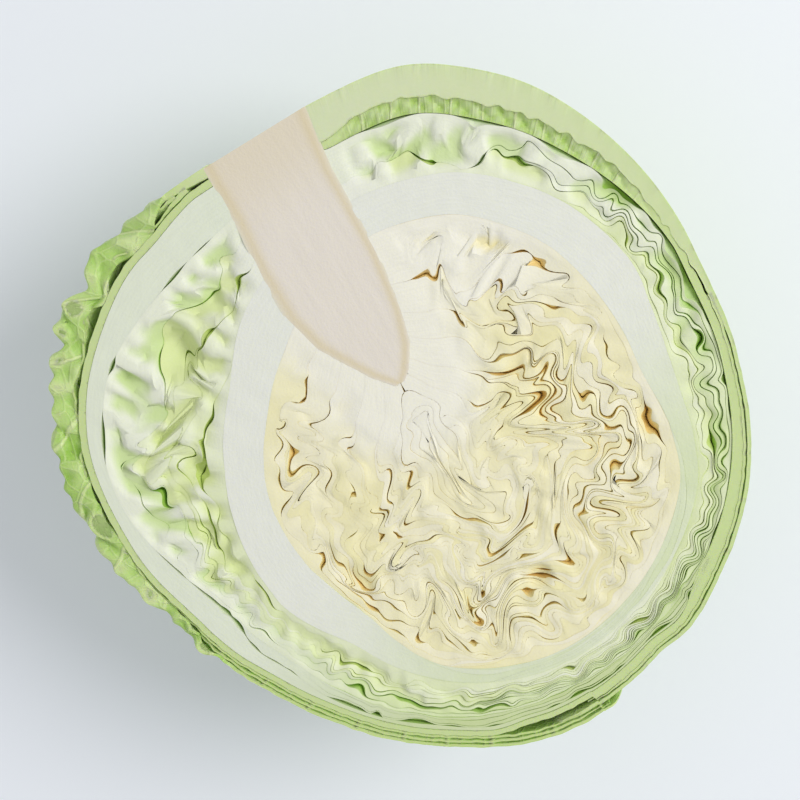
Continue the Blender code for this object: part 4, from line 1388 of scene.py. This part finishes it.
@dataclass
class OuterLeaf:
    """An outermost leaf: cupped sheets from the cut face to a wavy margin on the back of the head."""

    form: HeadForm
    name: str
    side: int
    reach: float
    frills: tuple[Frill, ...]
    lobes: tuple[tuple[float, float, float], ...] = ()
    row_step: float = 0.62
    room: float = 0.04
    bend: float = 1.5
    flap_columns: int = 15
    margin_columns: int = 15
    top_depths: tuple[float, ...] = (0.0, 0.3, 0.9, 1.8, 3.0, 4.5, 6.5, 9.0, 12.0, 16.0)
    least_drop: float = 0.03
    seed: int = 31

    def limits(self, angle: np.ndarray, level: np.ndarray) -> tuple[np.ndarray, np.ndarray]:
        """Outer and inner radius of the leaf's room, outside the back leaf."""
        form = self.form
        depth = form.dome_depth * np.sin(np.radians(level))
        outline = form.outline_at(angle)
        back = form.back_outside(angle, level) - form.rim_ripple(angle, depth)
        if self.side > 0:
            return outline, back + self.room + form.overlap * form.crossing(angle)
        return outline - 2.2 * form.crossing(angle), back + self.room

    def lively(self, turned: np.ndarray) -> np.ndarray:
        """How strongly the leaf is ruffled: most amid the green side, little by the core and far away."""
        if self.side > 0:
            return ease((turned - 12.0) / 14.0) * (0.3 + 0.7 * ease((118.0 - turned) / 34.0))
        return 0.4 * ease((turned - 60.0) / 30.0)

    def ribbed(self, turned: np.ndarray) -> np.ndarray:
        """1 where the leaf is its thick rib, 0 where it is a blade."""
        if self.side > 0:
            return 1.0 - ease((turned - 5.0) / 14.0)
        return 1.0 - ease((turned - 74.0) / 24.0)

    def folded(self, turned: np.ndarray) -> np.ndarray:
        """How far the leaf's top is folded over inwards: on the green side only."""
        return ease((turned - 13.0) / 9.0) * (1.0 - ease((turned - 84.0) / 24.0))

    def margin(self, turned: np.ndarray) -> np.ndarray:
        """Level at which the leaf ends: deep amid the leaf, with slow waves and a fine ripple."""
        free = ease((self.reach - turned) / 70.0)
        ripple = 0.7 * np.sin(np.radians(turned * 23.0)) + 0.45 * np.sin(np.radians(turned * 41.0 + 40.0))
        return 43.0 + 14.5 * free + 2.0 * np.sin(np.radians(turned * 6.0)) * free + ripple * free

    @staticmethod
    def creases(rng: np.random.Generator, along: np.ndarray, down: np.ndarray) -> np.ndarray:
        """Soft creases: 1.1 * sqrt(n1 ^ 2 + 0.1) - 0.85 + 0.25 * n2, each n a sum of plane waves.

        Args:
            rng: the source of the waves.
            along: place along the leaf, in millimetres.
            down: place down the leaf, in millimetres.

        Returns:
            Heights from about -0.7 to 2.
        """
        parts = []
        for count, lengths in ((8, (10.0, 20.0)), (7, (4.5, 8.0))):
            turn = rng.uniform(0.0, math.pi, count)
            number = 2.0 * math.pi / rng.uniform(*lengths, count)
            phase = rng.uniform(0.0, 2.0 * math.pi, count)
            spot = along[..., None] * number * np.cos(turn) + down[..., None] * number * np.sin(turn)
            parts.append(np.sin(spot + phase).sum(axis=-1) * math.sqrt(2.0 / count))
        return 1.1 * np.sqrt(parts[0] ** 2 + 0.1) - 0.85 + 0.25 * parts[1]

    def flap(self, frill: Frill, rng: np.random.Generator, turned: np.ndarray, flap: np.ndarray,
             room: np.ndarray) -> tuple[np.ndarray, np.ndarray, np.ndarray]:
        """Section of a sheet's top, which turns inwards round a bend of 1.5 mm.

        Args:
            frill: the sheet.
            rng: the source of its unevenness.
            turned: turns of its sections, in degrees.
            flap: share of the room that it covers at each section.
            room: width of the room at each section, in millimetres.

        Returns:
            Places along the section from the bend's foot, and how far each lies inwards and upwards.
        """
        angle = self.form.stem_axis + self.side * turned
        length = 0.1 + flap * room * (0.98 + 0.3 * wander(rng, 30.0, angle))
        over = np.linspace(0.0, 1.0, self.flap_columns if frill.flap else 1) * length[:, None]
        turn = np.radians(88.0 + 20.0 * wander(rng, 30.0, angle))[:, None] * ease(over / (1.6 * self.bend))
        turn = turn * ease(flap / 0.3)[:, None]
        strides = np.diff(over, axis=1, prepend=0.0)
        return over, np.cumsum(np.sin(turn) * strides, axis=1), np.cumsum(np.cos(turn) * strides, axis=1)

    def ruffles(self, frill: Frill, rng: np.random.Generator, turned: np.ndarray,
                below: np.ndarray) -> np.ndarray:
        """A sheet's ruffles: a sum of three sines along the leaf whose phases wander.

        Args:
            frill: the sheet.
            rng: the source of the wandering.
            turned: turns of its sections, in degrees.
            below: depth below the cut of the points of each section.

        Returns:
            Heights between about -1 and 1.
        """
        angle, along = self.form.stem_axis + self.side * turned, np.radians(turned) * 96.0
        wave = np.zeros_like(below)
        for number, (wavelength, share) in enumerate(zip(frill.lengths, (0.6, 0.38, 0.2))):
            phase = 1.5 * (number + 1.0) * wander(rng, 22.0 * (number + 1), angle)
            shift = (0.12, -0.17, 0.24)[number] * below
            wave += share * np.sin(2.0 * math.pi * along[:, None] / wavelength + phase[:, None] + shift)
        return wave

    def sheet(self, frill: Frill, rng: np.random.Generator) -> tuple[np.ndarray, np.ndarray, np.ndarray]:
        """Grid, looks and places of one sheet.

        The middle of its wall lies at room * (place + wave * w / 2), where w are its ruffles. Its top
        turns inwards, and creases move it along its own normal.

        Args:
            frill: the sheet.
            rng: the source of its unevenness.

        Returns:
            The grid of points, a row for each section, and their looks and places on the leaf.
        """
        form = self.form
        step = math.degrees(self.row_step / 90.0)
        turned = np.arange(frill.turns[0], min(frill.turns[1], self.reach), step)
        angle = form.stem_axis + self.side * turned
        along = np.radians(turned) * 96.0
        lively, rib, folded = self.lively(turned), self.ribbed(turned), self.folded(turned)
        flap = frill.flap * folded
        top = 0.12 + frill.dip * lively * (0.5 + 0.5 * wander(rng, 50.0, angle)) ** 1.5
        top = top + frill.sunken * folded
        if frill.bottom is None:
            top = top + 15.0 * ease((turned - turned[-1] + 6.0) / 6.0) ** 2
        outline = form.outline_at(angle)
        outer, inner = self.limits(angle, form.level_at(angle, outline, top))
        over, inward, upward = self.flap(frill, rng, turned, flap, outer - inner)
        start = top + upward.max(axis=1)
        end = np.sin(np.radians(self.margin(turned))) * form.dome_depth
        depths = np.array(self.top_depths)
        if frill.bottom is None:
            tail = np.linspace(0.0, 1.0, self.margin_columns)[1:]
            low = start + depths[-1]
            lower = low[:, None] + (end - low)[:, None] * tail
            below = np.concatenate([start[:, None] + depths, lower], axis=1)
        else:
            below = start[:, None] + depths[depths <= frill.bottom]

        outer, inner = self.limits(angle[:, None], form.level_at(angle[:, None], outline[:, None], below))
        room = outer - inner
        wave = self.ruffles(frill, rng, turned, below)
        blade = frill.blade * (0.85 + 0.15 * ease(below / 8.0)) * frill.width(turned)[:, None]
        blade = np.minimum(blade + (room - blade) * rib[:, None], room * (0.48 + 0.52 * rib[:, None]))
        filled = frill.fill * room * ease((below - start[:, None]) / 1.8) * (1.0 - flap - rib)[:, None]
        filled = np.maximum(filled, 0.0)
        place = frill.place * (1.0 - flap[:, None]) + (0.5 - frill.place) * rib[:, None]
        fade = (1.0 - 0.75 * ease(below / 18.0)) * (1.0 - 0.6 * flap[:, None])
        middle = outer - room * (place + 0.5 * frill.wave * wave * fade * lively[:, None])
        middle, blade = middle - 0.5 * filled, blade + filled
        middle = np.clip(middle, inner + 0.5 * blade, outer - 0.5 * blade)
        lobe = sum(height * np.exp(-((angle - spot) / spread) ** 2) for spot, spread, height in self.lobes)
        middle = middle + (lobe + 0.0 * angle)[:, None] * (1.0 - ease((below - top[:, None]) / 11.0))

        radius = np.concatenate([(middle[:, :1] - inward)[:, :0:-1], middle], axis=1)
        depth = np.concatenate([(start[:, None] - upward)[:, :0:-1], below], axis=1)
        down = np.concatenate([-over[:, :0:-1], below - start[:, None]], axis=1)
        blade = np.concatenate([np.repeat(blade[:, :1], over.shape[1] - 1, axis=1), blade], axis=1)
        folds = frill.crumple * lively[:, None] * (1.0 - 0.85 * ease(down / 16.0)) * self.creases(
            rng, along[:, None] + 0.0 * down, down)
        radius, depth = self.moved(radius, depth, folds * (0.25 + 0.75 * flap[:, None]))
        warm = (0.5 + 0.3 * wander(rng, 30.0, angle))[:, None] + 0.0 * down
        # Crests of the creases are painted paler and their troughs greener: painted highlight and shade.
        if frill.crumple:
            warm = np.clip(warm + 0.45 * folds / frill.crumple, 0.0, 1.0)
        grid, walls, cap = self.closed(angle, radius, depth, blade)

        cut = np.array([0.85, 0.42, 0.22, 0.0, 0.1, 0.8])[None, :]
        cut = cut + (1.0 - cut) * ease(flap / 0.4)[:, None]
        full = np.ones((len(angle), walls))
        warm, down = (np.concatenate([
            part[:, ::-1], np.repeat(part[:, :1], cap, axis=1), part], axis=1) for part in (warm, down))
        pale = rib * (1.0 - 0.5 * ease((turned - 8.0) / 64.0))
        look = stacked(np.concatenate([full, cut, full], axis=1), pale[:, None], warm)
        return grid, look, stacked(along[:, None], down, 0.0)

    def closed(self, angle: np.ndarray, radius: np.ndarray, depth: np.ndarray,
               blade: np.ndarray) -> tuple[np.ndarray, int, int]:
        """Give a sheet's middle its thickness, close it over its cut edge, and lay it on the dome.

        Args:
            angle: of each section, in degrees.
            radius: of the middle's points, in millimetres.
            depth: of the middle's points.
            blade: thickness at the middle's points.

        Returns:
            The grid, and how many columns each wall and the cut edge have.
        """
        form = self.form
        outside = self.moved(radius, depth, 0.5 * blade)
        inside = self.moved(radius, depth, -0.5 * blade)
        skin = np.minimum(0.32 / blade[:, 0], 0.3)
        cap = [0.03, skin, 0.3 + 0.0 * skin, 0.62 + 0.0 * skin, 1.0 - skin, 0.97]
        section = []
        for far, near in zip(outside, inside):
            edge = np.stack([far[:, 0] + (near[:, 0] - far[:, 0]) * part for part in cap], axis=1)
            section.append(np.concatenate([far[:, ::-1], edge, near], axis=1))
        radius, depth = section
        count = outside[0].shape[1]
        depth[:, count:count + len(cap)] -= 0.05
        level = form.level_at(angle[:, None], radius, np.maximum(depth, self.least_drop))
        radius = np.maximum(radius, self.limits(angle[:, None], level)[1] - 0.02)
        return form.cut_off(form.dome(angle[:, None], level, radius)), count, len(cap)

    @staticmethod
    def moved(radius: np.ndarray, depth: np.ndarray, distance: np.ndarray) -> tuple[np.ndarray, np.ndarray]:
        """Move a section's line sideways by a distance, along its normal in the plane of the section."""
        if radius.shape[1] < 2:
            return radius + distance, depth
        across, down = np.gradient(radius, axis=1), np.gradient(depth, axis=1)
        size = np.hypot(across, down) + 1e-9
        return radius + distance * down / size, depth - distance * across / size

    def build(self, finish: bpy.types.Material) -> bpy.types.Object:
        """Build the leaf's sheets in one mesh and dress it."""
        rng = np.random.default_rng(self.seed)
        return dressed(self.name, [self.sheet(frill, rng) for frill in self.frills], finish)


RUFFLED_FRILLS = (
    Frill(0.2, 0.24, (23.0, 12.0, 7.1), 1.0, 0.8, (0.25, 187.2), fill=0.16, flap=0.98, crumple=1.6),
    Frill(0.55, 0.24, (11.0, 6.3, 3.8), 0.85, 0.6, (14.0, 182.0), fill=0.16, sunken=1.8, bottom=16.0),
    Frill(0.9, 0.16, (9.0, 5.2, 3.1), 0.75, 0.4, (12.0, 176.0), fill=0.06, sunken=0.6, bottom=12.0),
)
OUTER_FRILLS = (
    Frill(0.28, 0.18, (21.0, 11.0, 6.0), 1.15, 0.25, (0.25, 194.4), fill=0.16),
    Frill(0.84, 0.12, (13.0, 7.0, 4.0), 0.8, 0.3, (86.0, 182.0), fill=0.08, bottom=16.0),
)

# Lobes that stand out in the left leaf's outline, each as angle, spread and height
RUFFLED_LOBES = (
    (150.0, 3.2, 2.4), (158.5, 2.6, 2.8), (154.5, 1.4, -2.6), (169.0, 3.0, 0.9), (176.0, 2.5, -1.0),
    (186.0, 3.5, 1.4))


@dataclass
class BackLeaf:
    """The leaf that goes all round and holds the flat spot that the head rests on."""

    form: HeadForm
    step: float = 0.5
    depths: tuple[float, ...] = (0.2, 0.6, 1.4, 2.6, 4.2, 6.5, 10.0)
    lower_levels: int = 20
    last_levels: tuple[float, ...] = (85.0, 88.0, 89.97)
    strip: tuple[float, ...] = (0.04, 0.16, 0.3, 0.44, 0.56, 0.7, 0.84, 0.96)

    def walls(self, angle: np.ndarray, level: np.ndarray) -> tuple[np.ndarray, np.ndarray]:
        """Outer and inner radius of the leaf. Near the cut face it reaches in to the leaves inside it.

        Args:
            angle: round the head, in degrees.
            level: down the dome, in degrees.

        Returns:
            Both radii, in millimetres.
        """
        form = self.form
        even = form.outline_at(angle) / form.outline_at(np.arange(360)).mean()
        thick = form.back_thickness * (1.0 + (even - 1.0) * ease(level / form.rest_spot_angle))
        depth = np.sin(np.radians(level)) * form.dome_depth
        thick = thick * (1.0 - 0.25 * form.rippled(angle) * (1.0 - ease(depth / 5.0)))
        outside = form.back_outside(angle, level) - form.rim_ripple(angle, depth)
        inside = outside - thick
        bare = ease(((angle - form.stem_axis) % 360.0 - 206.0) / 12.0)
        nest = form.inside_back(angle) * (1.0 - bare) + form.inside_wrapper(angle) * bare + 0.1
        return outside, inside + (np.minimum(inside, nest) - inside) * (1.0 - ease((level - 30.0) / 25.0))

    def build(self, finish: bpy.types.Material) -> bpy.types.Object:
        """Build the leaf as a closed double dome, whose edge ripples between the leaves on the right.

        Its cut edge is a strip of eight columns, which goes up and down in short waves where it is frilled,
        with painted highlight on the crests of the waves and painted shade in their troughs.
        """
        form = self.form
        angle = (form.stem_axis + np.arange(0.0, 360.0, self.step))[:, None]
        tops = np.degrees(np.arcsin(np.array(self.depths) / form.dome_depth))
        lower = np.linspace(tops[-1], form.rest_spot_angle, self.lower_levels)[1:]
        level = np.concatenate([tops, lower, self.last_levels])[None, :]
        outside, inside = self.walls(angle, level)
        across = np.array([self.strip])
        edge = outside[:, :1] + (inside[:, :1] - outside[:, :1]) * across
        radius = np.concatenate([outside[:, ::-1], edge, inside], axis=1)
        levels = np.concatenate([level[:, ::-1], np.full(across.shape, 0.5 * tops[0]), level], axis=1)
        frilled, turn = form.frilled(angle), np.radians(angle)
        sway = 2.6 * wander(np.random.default_rng(17), 90.0, angle)
        frill = 0.6 * np.sin(96.0 * turn + sway + 5.0 * across)
        frill = frill + 0.4 * np.sin(171.0 * turn - sway - 7.0 * across)
        grid = form.dome(angle, levels, radius)
        count = level.shape[1]
        wavy = 0.5 + 1.3 * (0.5 + 0.5 * frill) ** 1.2
        grid[:, count:count + len(self.strip), 2] -= frilled * wavy * np.sin(math.pi * across) ** 0.6
        grid[:, :count][:, level[0, ::-1] >= form.rest_spot_angle, 2] = 0.0
        grid = form.cut_off(grid)
        cut = np.full(across.shape, 0.05)
        cut[0, [0, -1]] = 0.6
        cut = cut + (1.0 - cut) * frilled
        wall = np.ones((len(angle), count))
        skin = np.concatenate([wall, cut, wall], axis=1)
        # Where frilled, the strip is painted paler on its crests and greener in its troughs: painted
        # highlight and shade.
        warm = np.concatenate([0.5 * wall, 0.5 - 0.4 * frilled * frill, 0.5 * wall], axis=1)
        bend = np.radians(angle - form.stem_axis)
        arc = (90.0 - levels) * math.pi / 180.0 * 92.0
        place = stacked(arc * np.cos(bend), np.abs(arc * np.sin(bend)), 0.0)
        return dressed("back_leaf", [(grid, stacked(skin, 0.0 * angle, warm), place)], finish, all_round=True)


@dataclass
class Studio:
    """Pale floor, soft studio light and the camera above the cut face. Places of lamps are in metres."""

    target: tuple[float, float, float] = (-1.5, 2.7, 84.0)
    lens: float = 85.0
    distance: float = 482.0
    tilt: float = 11.0
    toward: float = 55.0
    floor_reach: float = 2.5
    floor_colour: str = "#F2F6FD"
    sky_colour: str = "#F7F8FB"
    sky_strength: float = 0.62
    lamp_place: tuple[float, float, float] = (1.2, 0.5, 1.35)
    lamp_colour: tuple[float, float, float] = (1.0, 0.985, 0.96)
    lamp_size: float = 0.9
    lamp_power: float = 18.0

    def build(self) -> None:
        """Make the floor, the lights and the camera."""
        self.make_floor()
        self.make_lights()
        self.make_camera()

    def make_floor(self) -> None:
        """A wide matte board under the head."""
        reach = self.floor_reach
        mesh = bpy.data.meshes.new("floor")
        corners = [(-reach, -reach, 0.0), (reach, -reach, 0.0), (reach, reach, 0.0), (-reach, reach, 0.0)]
        mesh.from_pydata(corners, [], [(0, 1, 2, 3)])
        floor = bpy.data.objects.new("floor", mesh)
        bpy.context.scene.collection.objects.link(floor)
        material = bpy.data.materials.new("pale_board")
        material.use_nodes = True
        shader = material.node_tree.nodes["Principled BSDF"]
        shader.inputs["Base Color"].default_value = to_linear(self.floor_colour)
        shader.inputs["Roughness"].default_value = 0.7
        mesh.materials.append(material)

    def make_lights(self) -> None:
        """A large soft lamp from the upper right, and a pale sky all round."""
        world = bpy.data.worlds.new("pale_sky")
        world.use_nodes = True
        background = world.node_tree.nodes["Background"]
        background.inputs["Color"].default_value = to_linear(self.sky_colour)
        background.inputs["Strength"].default_value = self.sky_strength
        bpy.context.scene.world = world
        lamp = bpy.data.lights.new("key_lamp", "AREA")
        lamp.shape, lamp.size = "DISK", self.lamp_size
        lamp.energy, lamp.color = self.lamp_power, self.lamp_colour
        holder = bpy.data.objects.new("key_lamp", lamp)
        holder.location = self.lamp_place
        toward = Vector((0.0, 0.0, 0.06)) - Vector(self.lamp_place)
        holder.rotation_euler = toward.to_track_quat("-Z", "Y").to_euler()
        bpy.context.scene.collection.objects.link(holder)

    def make_camera(self) -> None:
        """The camera looks down at the cut face, from a little to the upper right, with +Y upwards."""
        camera = bpy.data.objects.new("camera", bpy.data.cameras.new("camera"))
        camera.data.lens = self.lens
        camera.data.sensor_width = 36.0
        tilt, turn = math.radians(self.tilt), math.radians(self.toward)
        back = Vector((math.sin(tilt) * math.cos(turn), math.sin(tilt) * math.sin(turn), math.cos(tilt)))
        right = (-back).cross(Vector((0.0, 1.0, 0.0))).normalized()
        up = right.cross(-back)
        spot = Vector(self.target) * MM + back * self.distance * MM
        camera.matrix_world = Matrix((
            (right.x, up.x, back.x, spot.x), (right.y, up.y, back.y, spot.y), (right.z, up.z, back.z, spot.z),
            (0.0, 0.0, 0.0, 1.0)))
        camera.data.clip_start, camera.data.clip_end = 0.01, 20.0
        bpy.context.scene.collection.objects.link(camera)
        bpy.context.scene.camera = camera


@dataclass(frozen=True)
class ZoneDress:
    """How the leaves of a zone are dressed: slot, finish, unevenness in mm, and points across a cut edge."""

    slot: str
    finish: LeafFinish
    relief: float
    cap: int


ZONE_DRESS = {
    Zone.WRAPPER: ZoneDress("wrapper_leaf", WRAPPER_FLESH, 0.5, 8),
    Zone.FILLER: ZoneDress("folded_leaf", FOLDED_FLESH, 1.3, 6),
    Zone.RIB: ZoneDress("rib_leaf", RIB_FLESH, 0.35, 8),
    Zone.HEART: ZoneDress("heart_leaf", HEART_FLESH, 0.9, 6),
}
FINE_CAPS = {"heart_right_1": 12, "fold_left_1": 8, "fold_right_1": 8}
GREEN_LEAVES = ("fold_left_1", "fold_right_1")


def place_piece(piece: bpy.types.Object, node: str) -> None:
    """Let a piece ride on the head and stand for its solid, and report it."""
    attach(piece, "root")
    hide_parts(node)
    log.info("%s: %d points, %d faces", piece.name, len(piece.data.vertices), len(piece.data.polygons))


def main() -> None:
    """Build and dress the head, then set up the studio."""
    logging.basicConfig(level=logging.INFO, format="%(message)s")
    bpy.context.scene.view_settings.view_transform = "Standard"
    form = HeadForm()
    finishes = {zone: dress.finish.build() for zone, dress in ZONE_DRESS.items()}
    green = GREEN_FLESH.build()
    openings = MAIN_OPENINGS + small_openings(1, 150, (10.0, 52.0), (0.3, 1.5), (1.5, 4.5))
    openings += small_openings(2, 80, (58.0, 88.0), (0.3, 1.4), (2.0, 6.0))
    nest = LeafNest(form, LEAVES, openings, OPEN_FIELDS)
    for leaf in LEAVES:
        dress = ZONE_DRESS[leaf.zone]
        finish = green if leaf.name in GREEN_LEAVES else finishes[leaf.zone]
        piece = nest.build(leaf, dress.relief, FINE_CAPS.get(leaf.name, dress.cap), finish)
        place_piece(piece, leaf.name)
    place_piece(HeartBud(form).build(finishes[Zone.HEART]), "heart_bud")
    place_piece(StemCore(form).build(CORE_FLESH.build()), "stem_core")
    ruffled = OuterLeaf(form, "outer_leaf_left", 1, 187.2, RUFFLED_FRILLS, RUFFLED_LOBES)
    place_piece(ruffled.build(RUFFLED_LEAF.build()), "outer_leaf_left")
    outer = OUTER_LEAF.build()
    right = OuterLeaf(form, "outer_leaf_right", -1, 194.4, OUTER_FRILLS, seed=47)
    place_piece(right.build(outer), "outer_leaf_right")
    place_piece(BackLeaf(form).build(outer), "back_leaf")
    Studio().build()


if __name__ == "__main__":
    main()
